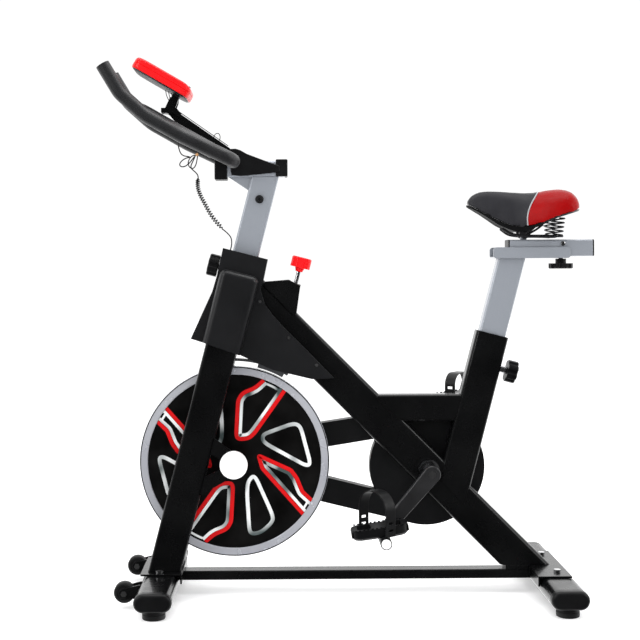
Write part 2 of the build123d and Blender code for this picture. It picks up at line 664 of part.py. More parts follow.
def pedal_body(side, strap_top):
    """Cage pedal: a barrel on the axle under a rounded platform, with notches for its strap."""
    low, high = CAGE_Z
    long = CAGE_X[1] - CAGE_X[0]
    wide = CAGE_Y[1] - CAGE_Y[0]
    centre = Pos((CAGE_X[0] + CAGE_X[1]) / 2, (CAGE_Y[0] + CAGE_Y[1]) / 2, low)
    cage = centre * extrude(RectangleRounded(long, wide, 26), amount=high - low)
    cage = chamfer(cage.faces().sort_by(Axis.Z)[0].edges(), 5)
    for shift in (-33, 33):
        cage -= centre * Pos(shift, 0, -1) * extrude(RectangleRounded(30, wide - 22, 6), amount=high)
    from_below = (Align.CENTER, Align.MIN, Align.MIN)
    lug = Pos(STRAP_OUTER[0] - 3, CAGE_Y[1] - 2, low + 3) * Box(10, 8, 14, align=from_below)
    body = Rot(0, -PEDAL_TILT, 0) * (cage + lug) + cross_bar((0, 0), BARREL_RADIUS, *BARREL_Y)
    body -= cross_bar((0, 0), PEDAL_AXLE + RUNNING, BARREL_Y[0] - 1, BARREL_Y[1] - 4)
    return placed_pedal(body - strap_shape(strap_top) - strap_legs_filled(), side)


def strap_plane():
    """Plane of the strap's arch, turned so that its outer leg stands behind its inner one."""
    along = (STRAP_OUTER[0] - STRAP_INNER[0], STRAP_OUTER[1] - STRAP_INNER[1])
    middle = ((STRAP_OUTER[0] + STRAP_INNER[0]) / 2, (STRAP_OUTER[1] + STRAP_INNER[1]) / 2)
    across = (along[1], -along[0], 0)
    return Plane(origin=(middle[0], middle[1], 0), x_dir=(along[0], along[1], 0), z_dir=across)


def strap_span():
    return hypot(STRAP_OUTER[0] - STRAP_INNER[0], STRAP_OUTER[1] - STRAP_INNER[1])


def strap_legs_filled():
    """Feet of both strap legs, to cut their seats in the pedal."""
    legs = None
    for shift in (-strap_span() / 2, strap_span() / 2):
        leg = Pos(shift, STRAP_LOW + 12) * Rectangle(STRAP_THICK, 24)
        solid = extrude(strap_plane() * leg, amount=STRAP_WIDE / 2, both=True)
        legs = solid if legs is None else legs + solid
    return legs


def strap_shape(top):
    """Foot strap: one band that arches over the shoe, with adjusting slots in both legs."""
    wide = strap_span() + STRAP_THICK
    inside = wide - 2 * STRAP_THICK
    corner = min(inside / 2, (top - STRAP_LOW) / 2) - STRAP_THICK - 2
    band = arch_face(wide, STRAP_LOW, top, corner + STRAP_THICK)
    band -= arch_face(inside, STRAP_LOW, top - STRAP_THICK, corner)
    strap = extrude(strap_plane() * band, amount=STRAP_WIDE / 2, both=True)
    for height in (27, 42):
        slot = strap_plane() * Pos(0, height, 0) * Box(2 * wide, 6, 13)
        strap -= slot
    return strap


def pedal_strap(side, top):
    return placed_pedal(strap_shape(top), side)


def arch_face(wide, low, high, corner):
    """Door-shaped face: square below, rounded above."""
    tall = high - low
    face = Pos(0, (low + high) / 2) * RectangleRounded(wide, tall, corner)
    return face + Pos(0, low + tall / 4) * Rectangle(wide, tall / 2)


# ---------------------------------------------------------------- handlebar
def post_holes(axis, first, step, count):
    """Row of locking holes along a post's pinned face."""
    holes = None
    for i in range(count):
        along = first + i * step
        hole = rod(deep(axis(along, POST_DEEP / 2 - 8)), deep(axis(along, POST_DEEP / 2 + 8)), 6)
        holes = hole if holes is None else holes + hole
    return holes


def stem_ends():
    return (-296, 0, 964), (-141, 0, 964)


def handlebar_post():
    """Sliding post with the fore-and-aft stem tube and its gusset welded on top."""
    section = box_section(POST_DEEP, POST_WIDE, POST_CORNER, POST_WALL)
    post = bar(deep(steer(580)), deep(steer(960)), section) - plate(
        [(-400, 946), (0, 946), (0, 1100), (-400, 1100)], -60, 60)
    post -= post_holes(steer, 606.0, 30.0, 9)
    stem = bar(*stem_ends(), box_section(36, 40, 6, 2.5))
    stem -= cross_bar(CROSS_BAR, BAR_RADIUS, -60, 60)
    gusset = plate([(-270, 947), steer(911.5, 29), steer(880, 29)], -10, 10)
    return post + stem + gusset


def stem_trim():
    """End caps of the stem tube and the screw through the post."""
    stem = bar(*stem_ends(), RectangleRounded(40, 36, 6))
    trim = Pos(-286, 0, 963) * fillet(Box(29, 46, 46).edges(), 3) - stem
    trim += rear_stem_cap() - stem
    x, z = steer(866, 0)
    trim += run_across(Pos(x, z) * RegularPolygon(6, 6), -POST_WIDE / 2 - 4, -POST_WIDE / 2)
    return trim


def rear_stem_cap():
    return Pos(-148.5, 0, 966) * fillet(Box(27, 46, 39).edges(), 3)


def stem_cover():
    """Moulded cover over the stem and the handlebar's clamp."""
    outline = [(-265.4, 1009.2), (-252.2, 1009.7), (-241.7, 1006.3), (-227.6, 998.1), (-197.5, 986.4),
               (-166.1, 974.8), (-153.3, 970.3), (-152.2, 956.1), (-209.1, 950.5), (-240, 947.5),
               (-262, 950), (-266, 975)]
    cover = plate(outline, -25, 25)
    cover = fillet(cover.faces().sort_by(Axis.Y)[0].edges() + cover.faces().sort_by(Axis.Y)[-1].edges(), 2)
    cover -= Pos(-219, 0, 964) * Box(200, 40, 36)
    cover -= steer_envelope(POST_DEEP, POST_WIDE, POST_CORNER, 860, 960)
    cover -= loop_path_solid(LOOP_RADIUS) + rear_stem_cap()
    return cover - cross_bar(CROSS_BAR, BAR_RADIUS, -60, 60)


def grip_route(side):
    """Points along one arm of the bar, from the cross piece forwards and up to its tip."""
    y = side * GRIP_Y
    return [(CROSS_BAR[0], y, CROSS_BAR[1]), (-368, y, 1032), (-452, y, 1080), (-506, y, 1129),
            (-541.5, y, 1188.5)]


def main_bar_path():
    """One continuous tube: left tip, cross piece, right tip."""
    points = grip_route(-1)[::-1] + grip_route(1)
    return FilletPolyline(*points, radius=[60, 120, 150, CORNER_BEND, CORNER_BEND, 150, 120, 60])


def sweep_round(path, outer, inner=0.0):
    section = Circle(outer) - Circle(inner) if inner else Circle(outer)
    return sweep(Plane(origin=path @ 0, z_dir=path % 0) * section, path=path)


def loop_route():
    """Inner loop of the bar, between the two arms."""
    return [(-260, LOOP_Y, 981), (-372, LOOP_Y, 1044), (-470, LOOP_Y, 1101),
            (-470, -LOOP_Y, 1101), (-372, -LOOP_Y, 1044), (-260, -LOOP_Y, 981)]


def loop_path_solid(radius):
    return sweep_round(FilletPolyline(*loop_route(), radius=[200, 34, 34, 200]), radius)


def handlebar_tubes():
    """The U-shaped main bar, plugged at its tips, and the inner loop welded to its cross piece."""
    main = sweep_round(main_bar_path(), BAR_RADIUS, TUBE_BORE)
    for side in (-1, 1):
        before, tip = grip_route(side)[-2:]
        back = (Vector(*before) - Vector(*tip)).normalized() * 6
        main += rod(tip, tuple(Vector(*tip) + back), TUBE_BORE + 1)
    return main + (loop_path_solid(LOOP_RADIUS) - cross_bar(CROSS_BAR, BAR_RADIUS - 1, -90, 90))


def foam_grips():
    """Foam sleeves on both arms and round the front of the inner loop."""
    grips = None
    for side in (-1, 1):
        route = grip_route(side)
        start = deep(CROSS_BAR, side * FOAM_START_Y)
        points = [start] + route[:-1] + [(-543.5, side * GRIP_Y, 1192)]
        path = FilletPolyline(*points, radius=[CORNER_BEND, 150, 120, 60])
        grip = sweep_round(path, GRIP_RADIUS, BAR_RADIUS + 0.1)
        grips = grip if grips is None else grips + grip
    start = (-306, 981 + 46 * 63 / 112.0)
    points = [(start[0], LOOP_Y, start[1])] + loop_route()[1:-1] + [(start[0], -LOOP_Y, start[1])]
    path = FilletPolyline(*points, radius=[200, 34, 34, 200])
    return grips + sweep_round(path, 15, LOOP_RADIUS + 0.1)


def console_bracket():
    """Arm from the stem cover up to the console, ending in two ears round the tilt pin."""
    arm = bar((-262, 0, 1004.5), (-393, 0, 1096.5), Rectangle(24, 8))
    arm -= stem_cover_block()
    x, z = CONSOLE_PIVOT
    ear = two_disc_face((x, z), 10, (x - 8, 1101), 11)
    ears = both_sides(run_across(ear, 10.5, 16))
    foot = plate([(-421, 1094), (-393, 1090), (-375, 1079), (-375, 1090), (-386, 1104), (-421, 1104)], -16, 16)
    pin = cross_bar(CONSOLE_PIVOT, 3, -16, 16)
    return arm + ears + foot + pin


def stem_cover_block():
    return plate([(-266, 940), (-150, 940), (-150, 1012), (-266, 1012)], -30, 30)


# ---------------------------------------------------------------- console
def console_plane():
    tilt = radians(CONSOLE_TILT)
    return Plane(origin=deep(CONSOLE_CENTRE), x_dir=(cos(tilt), 0, -sin(tilt)), z_dir=(sin(tilt), 0, cos(tilt)))


def console_slab(low, high, inset):
    """Rounded slab in the console's own plane, between two local heights."""
    section = RectangleRounded(CONSOLE_LONG - 2 * inset, CONSOLE_WIDE - 2 * inset, 22 - inset)
    return Pos(0, 0, low) * extrude(section, amount=high - low)


def console_top():
    """Upper shell, with the screen's recess and the button's hole."""
    half = CONSOLE_THICK / 2
    shell = console_slab(SPLIT_Z, half, 0)
    shell = fillet(shell.faces().sort_by(Axis.Z)[-1].edges(), 6)
    shell -= console_slab(SPLIT_Z, half - 6, 3)
    shell -= Pos(-12, 0, half - 2) * Box(*SCREEN, 4, align=BOTTOM)
    shell -= Pos(BUTTON_X, 0, half - 4) * Cylinder(8.3, 8, align=BOTTOM)
    return console_plane() * shell


def console_screen():
    return console_plane() * Pos(-12, 0, CONSOLE_THICK / 2 - 2) * Box(*SCREEN, 1.8, align=BOTTOM)


def console_button():
    cap = Pos(BUTTON_X, 0, CONSOLE_THICK / 2 - 2.2) * Cylinder(8, 4, align=BOTTOM)
    return console_plane() * fillet(cap.faces().sort_by(Axis.Z)[-1].edges(), 1)


def console_base():
    """Lower shell with the lug that turns on the bracket's pin."""
    half = CONSOLE_THICK / 2
    shell = console_slab(-half, SPLIT_Z, 1)
    shell = fillet(shell.faces().sort_by(Axis.Z)[0].edges(), 3)
    shell -= console_slab(-half + 3, SPLIT_Z, 4)
    base = console_plane() * shell
    tilt = radians(CONSOLE_TILT)
    up = (CONSOLE_PIVOT[0] + 22 * sin(tilt), CONSOLE_PIVOT[1] + 22 * cos(tilt))
    lug = run_across(two_disc_face(CONSOLE_PIVOT, 9, up, 9.5), -10, 10)
    inside = console_plane() * console_slab(-half + 3, 60, 1)
    return base + (lug - inside) - cross_bar(CONSOLE_PIVOT, 3 + RUNNING, -20, 20)


# ---------------------------------------------------------------- sensor lead
def rounded_route(points):
    """Straight runs joined by arcs as large as the runs allow."""
    radii = []
    for before, here, after in zip(points, points[1:], points[2:]):
        first = Vector(*here) - Vector(*before)
        second = Vector(*after) - Vector(*here)
        turn = radians(first.get_angle(second))
        half_tan = sin(turn / 2) / cos(turn / 2)
        radii.append(0.45 * min(first.length, second.length) / half_tan)
    return FilletPolyline(*points, radius=radii)


def cord_tube(points, radius):
    return sweep_round(rounded_route(points), radius)


def sensor_lead():
    """Thin speed-sensor lead: console arm to tied slack, slack to coil, coil into the head cover."""
    lead = cord_tube(LEAD_ROUTE, CORD_RADIUS) + cord_tube(HANK_EXIT_ROUTE, CORD_RADIUS)
    return lead + cord_tube(TAIL_ROUTE, CORD_RADIUS)


def sensor_hank():
    """Space of the slack that is tied up in loops beside the stem."""
    plane = Plane(origin=deep(HANK_CENTRE, -12), x_dir=(1, 0, 0), z_dir=(0, 1, 0))
    return extrude(plane * RectangleRounded(*HANK_SIZE, 12), amount=13)


def sensor_coil():
    """Space of the curly stretch of the lead."""
    return cord_tube(COIL_ROUTE, COIL_RADIUS)


# ---------------------------------------------------------------- pull knobs
def pull_knob(axis, along, half):
    """Spring pin with a lobed knob, in the collar on a sleeve; its tip stops short of the post."""
    shaft = rod(deep(axis(along, POST_DEEP / 2 + 0.5)), deep(axis(along, half + 20)), 5)
    start = deep(axis(along, half + 16))
    way = Vector(*deep(axis(along, 1))) - Vector(*deep(axis(along, 0)))
    return shaft + Plane(origin=start, x_dir=(0, 1, 0), z_dir=way) * lobed_knob(KNOB_RADIUS, KNOB_TALL)


# ---------------------------------------------------------------- saddle
def seat_post():
    """Sliding post with the open channel that carries the saddle's slider."""
    section = box_section(POST_DEEP, POST_WIDE, POST_CORNER, POST_WALL)
    post = bar(deep(seat(-190)), deep(seat(200)), section) - plate(
        [(200, CHANNEL_Z[0]), (700, CHANNEL_Z[0]), (700, 900), (200, 900)], -60, 60)
    post -= post_holes(seat, -133.0, 30.0, 9)
    low, high = CHANNEL_Z
    middle = (CHANNEL_X[0] + CHANNEL_X[1]) / 2
    length = CHANNEL_X[1] - CHANNEL_X[0]
    channel = Pos(middle, 0, low) * Box(length, SLIDER_WIDE + 8, high - low, align=BOTTOM)
    channel = fillet(channel.edges().filter_by(Axis.Y), 7)
    channel -= Pos(middle, 0, SLIDER_Z[0] - 0.3) * Box(length + 40, SLIDER_WIDE + 0.6, 60, align=BOTTOM)
    channel -= Pos(SADDLE_KNOB_X, 0, low - 5) * Cylinder(5 + RUNNING, 20, align=BOTTOM)
    return post + channel


def saddle_rail():
    """Slider tube in the channel, with the round stub that the saddle clamps to."""
    low, high = SLIDER_Z
    tube = bar((SLIDER_X[0], 0, (low + high) / 2), (SLIDER_X[1], 0, (low + high) / 2),
               box_section(high - low, SLIDER_WIDE, 5, 2.5))
    stub = cross_bar(CLAMP, 9, -9, 9) + Pos(CLAMP[0], 0, high - 1) * Cylinder(
        7.5, CLAMP[1] - high + 1, align=BOTTOM)
    stub -= cross_bar(CLAMP, 4 + RUNNING, -10, 10)
    slot = Pos(SADDLE_KNOB_X - 10, 0, low - 1) * Box(90, 13, 4, align=BOTTOM)
    return tube + stub - slot


def saddle_rail_caps():
    low, high = SLIDER_Z
    caps = None
    for x in (SLIDER_X[0] - 1.5, SLIDER_X[1] + 1.5):
        cap = Pos(x, 0, (low + high) / 2) * fillet(
            Box(3, SLIDER_WIDE, high - low).edges().filter_by(Axis.X), 5)
        caps = cap if caps is None else caps + cap
    return caps


def saddle_knob():
    """Clamp knob under the channel: a lobed disc on a neck, with its stud."""
    low = CHANNEL_Z[0] - 12
    knob = Pos(SADDLE_KNOB_X, 0, low) * (Rot(180, 0, 0) * lobed_knob(29, 12, 9))
    knob += Pos(SADDLE_KNOB_X, 0, low - 1) * Cylinder(12, 11.5, align=BOTTOM)
    return knob + Pos(SADDLE_KNOB_X, 0, CHANNEL_Z[0] - 4) * Cylinder(5, 7, align=BOTTOM)


def saddle_plan(inset):
    """Saddle seen from above: narrow nose in front, wide and round behind."""
    half = [(270, 12), (290, 21), (330, 27), (370, 38), (410, 60), (445, 84), (478, 96), (504, 86),
            (519, 56)]
    half = [(x + (inset if x < 300 else -inset if x > 500 else 0), y - inset) for x, y in half]
    outline = half + [(x, -y) for x, y in reversed(half)]
    return extrude(make_face(Polyline(*[(x, y, 780) for x, y in outline], close=True)), amount=160, dir=(0, 0, 1))


def saddle_underside():
    """Lower edge of the saddle in side view, nose to tail."""
    return [(269, 876), (302, 859), (341, 835), (372, 826.5), (404, 827), (433, 836), (459, 847), (493, 857),
            (520, 862)]


def saddle_pad():
    top = [(519.5, 887), (501, 909), (472, 913), (428, 907), (368, 909), (315, 911.5), (289, 904.5), (270, 884)]
    low = [(x, z + 5) for x, z in saddle_underside()]
    return plate(low + top, -110, 110) & saddle_plan(0)


def saddle_pan():
    """Moulded base under the padding."""
    low = saddle_underside()
    return plate(low + [(x, z + 5) for x, z in reversed(low)], -110, 110) & saddle_plan(4)


def saddle_frame():
    """Clamp on the stub, two wire rails and the pair of coil springs under the tail."""
    clamp = cross_bar(CLAMP, 12, 9.4, 24)
    clamp += Pos(CLAMP[0], 16, CLAMP[1] + 6) * Box(16, 13, 12)
    wire = rod((CLAMP[0] + 8, 18, CLAMP[1] - 5), (CLAMP[0] + 92, 18, CLAMP[1] - 5), 3.5)
    spring = Pos(471, 36, 806) * Cone(13, 17, 42, align=BOTTOM)
    tie = Pos(471, 30, 806) * Box(30, 28, 5, align=BOTTOM)
    side = clamp + wire + tie + spring
    bolt = cross_bar(CLAMP, 4, -9.4, 9.4)
    under = saddle_underside()
    pan = plate([(269, 1000)] + under + [(520, 1000)], -110, 110)
    return both_sides(side - pan) + bolt


PARTS = {
    "stabilizers": stabilizers(),
    "stabilizer_caps": stabilizer_caps(),
    "foot_front_left": foot(FRONT_BAR_X, -FOOT_Y),
    "foot_front_right": foot(FRONT_BAR_X, FOOT_Y),
    "foot_rear_left": foot(REAR_BAR_X, -FOOT_Y),
    "foot_rear_right": foot(REAR_BAR_X, FOOT_Y),
    "base_brackets": base_brackets(),
    "transport_wheel_left": transport_wheel(-115.0),
    "transport_wheel_right": transport_wheel(115.0),
    "bottom_rail": bottom_rail() + rear_gusset(),
    "fork_legs": fork_legs(),
    "head_tube": head_tube(),
    "post_bushes": post_bushes(),
    "diagonal_tube": diagonal_tube(),
    "seat_tube": seat_tube(),
    "level_tube": level_tube(),
    "bottom_bracket": bottom_bracket(),
    "hub_caps": hub_caps(),
    "frame_fasteners": frame_fasteners(),
    "shroud_right": shroud_half(),
    "shroud_left": mirror_y(shroud_half()),
    "brake_housing": brake_housing(),
    "brake_rod": brake_rod(),
    "resistance_knob": resistance_knob(),
    "brake_arm": brake_arm(),
    "flywheel_rim": flywheel_rim(),
    "flywheel_disc": flywheel_disc(),
    "flywheel_hub": flywheel_hub(),
    "drive_belt": drive_belt(),
    "belt_guard_inner": chain_guard(True),
    "belt_guard_outer": chain_guard(False),
    "crank_axles": crank_axles(),
    "crank_pulley": crank_pulley(),
    "cranks": cranks(),
    "pedal_left": pedal_body(-1, STRAP_TOP_LEFT),
    "pedal_right": pedal_body(1, STRAP_TOP_RIGHT),
    "pedal_strap_left": pedal_strap(-1, STRAP_TOP_LEFT),
    "pedal_strap_right": pedal_strap(1, STRAP_TOP_RIGHT),
    "handlebar_post": handlebar_post(),
    "stem_trim": stem_trim(),
    "stem_cover": stem_cover(),
    "handlebar_tubes": handlebar_tubes(),
    "foam_grips": foam_grips(),
    "console_bracket": console_bracket(),
    "console_top": console_top(),
    "console_base": console_base(),
    "console_screen": console_screen(),
    "console_button": console_button(),
    "sensor_lead": sensor_lead(),
    "sensor_hank": sensor_hank(),
    "sensor_coil": sensor_coil(),
    "front_pull_knob": pull_knob(steer, 696.0, HEAD_DEEP / 2),
    "seat_pull_knob": pull_knob(seat, -73.0, SEAT_DEEP / 2),
    "seat_post": seat_post(),
    "saddle_rail": saddle_rail(),
    "saddle_rail_caps": saddle_rail_caps(),
    "saddle_knob": saddle_knob(),
    "saddle_pad": saddle_pad(),
    "saddle_pan": saddle_pan(),
    "saddle_frame": saddle_frame(),
}

os.makedirs("parts", exist_ok=True)
for name, shape in PARTS.items():
    export_step(shape, f"parts/{name}.step")
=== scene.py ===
import math

import bmesh
import bpy
from mathutils import Matrix, Vector
from mathutils.bvhtree import BVHTree


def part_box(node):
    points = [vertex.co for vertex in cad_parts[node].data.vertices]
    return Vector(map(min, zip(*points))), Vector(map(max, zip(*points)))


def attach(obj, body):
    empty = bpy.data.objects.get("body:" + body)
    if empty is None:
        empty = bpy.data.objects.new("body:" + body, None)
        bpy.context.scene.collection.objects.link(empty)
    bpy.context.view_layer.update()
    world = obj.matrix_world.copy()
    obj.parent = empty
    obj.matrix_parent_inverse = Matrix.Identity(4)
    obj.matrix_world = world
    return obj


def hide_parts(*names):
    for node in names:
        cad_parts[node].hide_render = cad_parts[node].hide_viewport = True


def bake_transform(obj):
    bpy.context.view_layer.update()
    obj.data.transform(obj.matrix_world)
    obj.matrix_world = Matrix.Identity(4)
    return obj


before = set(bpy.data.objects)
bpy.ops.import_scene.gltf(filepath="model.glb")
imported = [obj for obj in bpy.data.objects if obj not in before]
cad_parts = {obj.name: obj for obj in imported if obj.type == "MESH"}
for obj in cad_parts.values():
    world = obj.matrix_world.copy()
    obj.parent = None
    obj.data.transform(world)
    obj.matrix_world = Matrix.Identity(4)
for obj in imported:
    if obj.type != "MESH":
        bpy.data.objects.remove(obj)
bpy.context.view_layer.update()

MM = 0.001
SIDES = (-1, 1)


def middle(node):
    """Centre of a CAD node's box, in metres."""
    low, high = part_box(node)
    return (low + high) / 2


# ---------------------------------------------------------------- the frame's own lines, in metres
LEAN = math.radians(14.6)       # fork, head tube and handlebar post
STEER_FOOT = Vector((-0.4175, 0, 0.057))
WHEEL = middle("flywheel_rim")
WHEEL_CENTRE = Vector((WHEEL.x, 0, WHEEL.z))


def steer(along, ahead=0.0, y=0.0):
    """Point on the steering axis, or ahead of it, square to the axis; millimetres in, metres out."""
    x = -along * math.sin(-LEAN) - ahead * math.cos(LEAN)
    z = along * math.cos(LEAN) + ahead * math.sin(LEAN)
    return STEER_FOOT + Vector((x, y, z)) * MM


# ---------------------------------------------------------------- camera, light, floor
def make_camera():
    """The photograph's view: from the rider's left, level with the head cover."""
    data = bpy.data.cameras.new("camera")
    data.lens = 64.8
    data.sensor_width = 36.0
    data.shift_x = 0.061
    data.shift_y = -0.081
    camera = bpy.data.objects.new("camera", data)
    turn = Matrix.Rotation(math.radians(90), 4, "X") @ Matrix.Rotation(math.radians(-0.37), 4, "Z")
    camera.matrix_world = Matrix.Translation((-0.1515, -2.625, 0.739)) @ turn
    bpy.context.scene.collection.objects.link(camera)
    bpy.context.scene.camera = camera


def make_light(name, place, target, size, power):
    data = bpy.data.lights.new(name, "AREA")
    data.shape = "RECTANGLE"
    data.size, data.size_y = size
    data.energy = power
    light = bpy.data.objects.new(name, data)
    way = Vector(target) - Vector(place)
    light.matrix_world = Matrix.Translation(place) @ way.to_track_quat("-Z", "Y").to_matrix().to_4x4()
    bpy.context.scene.collection.objects.link(light)
    return light


def make_studio():
    make_light("top_box", (0.0, -0.2, 3.0), (0, 0, 0.4), (2.6, 1.4), 46)
    make_light("left_box", (-2.7, -1.7, 2.2), (-0.2, 0, 0.6), (0.8, 2.2), 42)
    make_light("right_box", (2.9, -1.1, 1.9), (0.1, 0, 0.6), (0.6, 2.2), 34)
    fill = make_light("front_fill", (0.2, -3.6, 1.5), (0, 0, 0.6), (2.2, 1.6), 16)
    fill.visible_glossy = False
    world = bpy.data.worlds.new("studio")
    world.use_nodes = True
    tree = world.node_tree
    background = tree.nodes["Background"]
    place = tree.nodes.new("ShaderNodeTexCoord")
    split = tree.nodes.new("ShaderNodeSeparateXYZ")
    ramp = tree.nodes.new("ShaderNodeMapRange")
    ramp.inputs["From Min"].default_value = -0.15
    ramp.inputs["From Max"].default_value = 0.15
    ramp.inputs["To Min"].default_value = 0.045
    ramp.inputs["To Max"].default_value = 1.6
    background.inputs["Color"].default_value = (1.0, 1.0, 1.0, 1.0)
    tree.links.new(place.outputs["Generated"], split.inputs[0])
    tree.links.new(split.outputs["Y"], ramp.inputs["Value"])
    rays = tree.nodes.new("ShaderNodeLightPath")
    seen = tree.nodes.new("ShaderNodeMix")
    seen.inputs[2].default_value = 1.05
    tree.links.new(rays.outputs["Is Glossy Ray"], seen.inputs[0])
    tree.links.new(ramp.outputs["Result"], seen.inputs[3])
    tree.links.new(seen.outputs[0], background.inputs["Strength"])
    bpy.context.scene.world = world
    bpy.context.scene.view_settings.view_transform = "Standard"


def make_floor():
    mesh = bpy.data.meshes.new("floor")
    half = 14.0
    corners = [(-half, -half, 0), (half, -half, 0), (half, half, 0), (-half, half, 0)]
    mesh.from_pydata(corners, [], [(0, 1, 2, 3)])
    floor = bpy.data.objects.new("floor", mesh)
    bpy.context.scene.collection.objects.link(floor)
    white = surface("floor_white", (0.93, 0.93, 0.935), 0.9, mottle=(3.0, 0.005), specular=0.1)
    glow = white.node_tree.nodes["Principled BSDF"]
    glow.inputs["Emission Color"].default_value = (1.0, 1.0, 1.0, 1.0)
    glow.inputs["Emission Strength"].default_value = 0.3
    floor.visible_glossy = False
    floor.data.materials.append(white)


# ---------------------------------------------------------------- materials
def principled(name, colour, rough, metal=0.0, coat=0.0, coat_rough=0.08, specular=0.5):
    mat = bpy.data.materials.new(name)
    mat.use_nodes = True
    bsdf = mat.node_tree.nodes["Principled BSDF"]
    bsdf.inputs["Base Color"].default_value = (*colour, 1.0)
    bsdf.inputs["Roughness"].default_value = rough
    bsdf.inputs["Metallic"].default_value = metal
    bsdf.inputs["Coat Weight"].default_value = coat
    bsdf.inputs["Coat Roughness"].default_value = coat_rough
    bsdf.inputs["Specular IOR Level"].default_value = specular
    return mat


def new_node(mat, kind, **settings):
    node = mat.node_tree.nodes.new(kind)
    for key, value in settings.items():
        setattr(node, key, value)
    return node


def link(mat, out, into):
    mat.node_tree.links.new(out, into)


def object_coords(mat):
    """The Object coordinates' output, one node a material."""
    for node in mat.node_tree.nodes:
        if node.type == "TEX_COORD":
            return node.outputs["Object"]
    return new_node(mat, "ShaderNodeTexCoord").outputs["Object"]


def noise_factor(mat, scale, detail=3.0, stretch=(1, 1, 1), roughness=0.5):
    """Noise value over the piece; stretch below 1 draws the pattern out along that axis."""
    mapping = new_node(mat, "ShaderNodeMapping")
    mapping.inputs["Scale"].default_value = stretch
    tex = new_node(mat, "ShaderNodeTexNoise")
    tex.inputs["Scale"].default_value = scale
    tex.inputs["Detail"].default_value = detail
    tex.inputs["Roughness"].default_value = roughness
    link(mat, object_coords(mat), mapping.inputs["Vector"])
    link(mat, mapping.outputs["Vector"], tex.inputs["Vector"])
    return tex.outputs["Fac"]


def spread(mat, factor, low, high, start=0.3, end=0.7):
    """Factor mapped from start..end to low..high."""
    node = new_node(mat, "ShaderNodeMapRange")
    for key, value in (("From Min", start), ("From Max", end), ("To Min", low), ("To Max", high)):
        node.inputs[key].default_value = value
    link(mat, factor, node.inputs["Value"])
    return node.outputs["Result"]


def mix_colour(mat, factor, first, second):
    """Colour between two colours or colour outputs."""
    node = new_node(mat, "ShaderNodeMix", data_type="RGBA")
    for socket, value in ((node.inputs[6], first), (node.inputs[7], second)):
        if isinstance(value, tuple):
            socket.default_value = (*value, 1.0)
        else:
            link(mat, value, socket)
    link(mat, factor, node.inputs[0])
    return node.outputs[2]


def round_edges(mat, radius):
    """Catches light along every edge as if it were rounded to that radius."""
    node = new_node(mat, "ShaderNodeBevel", samples=6)
    node.inputs["Radius"].default_value = radius
    under = next(n for n in mat.node_tree.nodes if n.type == "BUMP" and not n.inputs["Normal"].links)
    link(mat, node.outputs["Normal"], under.inputs["Normal"])
    return mat


def bump(mat, height, strength, distance):
    """Adds a bump under whatever bump the material has."""
    bsdf = mat.node_tree.nodes["Principled BSDF"]
    node = new_node(mat, "ShaderNodeBump")
    node.inputs["Strength"].default_value = strength
    node.inputs["Distance"].default_value = distance
    link(mat, height, node.inputs["Height"])
    old = bsdf.inputs["Normal"].links
    if old:
        link(mat, old[0].from_socket, node.inputs["Normal"])
    link(mat, node.outputs["Normal"], bsdf.inputs["Normal"])


def surface(name, colour, rough, metal=0.0, coat=0.0, coat_rough=0.08, specular=0.5,
            grain=None, mottle=None, uneven=0.0, orange_peel=None):
    """A moulded, painted or machined surface with its fine grain, tone variation and uneven gloss."""
    mat = principled(name, colour, rough, metal, coat, coat_rough, specular)
    bsdf = mat.node_tree.nodes["Principled BSDF"]
    if mottle:
        scale, amount = mottle
        lighter = tuple(min(1.0, c * (1 + amount) + amount * 0.02) for c in colour)
        darker = tuple(c * (1 - amount) for c in colour)
        tone = mix_colour(mat, spread(mat, noise_factor(mat, scale), 0, 1), darker, lighter)
        link(mat, tone, bsdf.inputs["Base Color"])
    if uneven:
        varied = spread(mat, noise_factor(mat, 38, 4), max(0.02, rough - uneven), rough + uneven)
        link(mat, varied, bsdf.inputs["Roughness"])
    if orange_peel:
        bump(mat, noise_factor(mat, orange_peel[0], 1.5), orange_peel[1], 0.0004)
    if grain:
        bump(mat, noise_factor(mat, grain[0], 2.5), grain[1], 0.0003)
    return mat


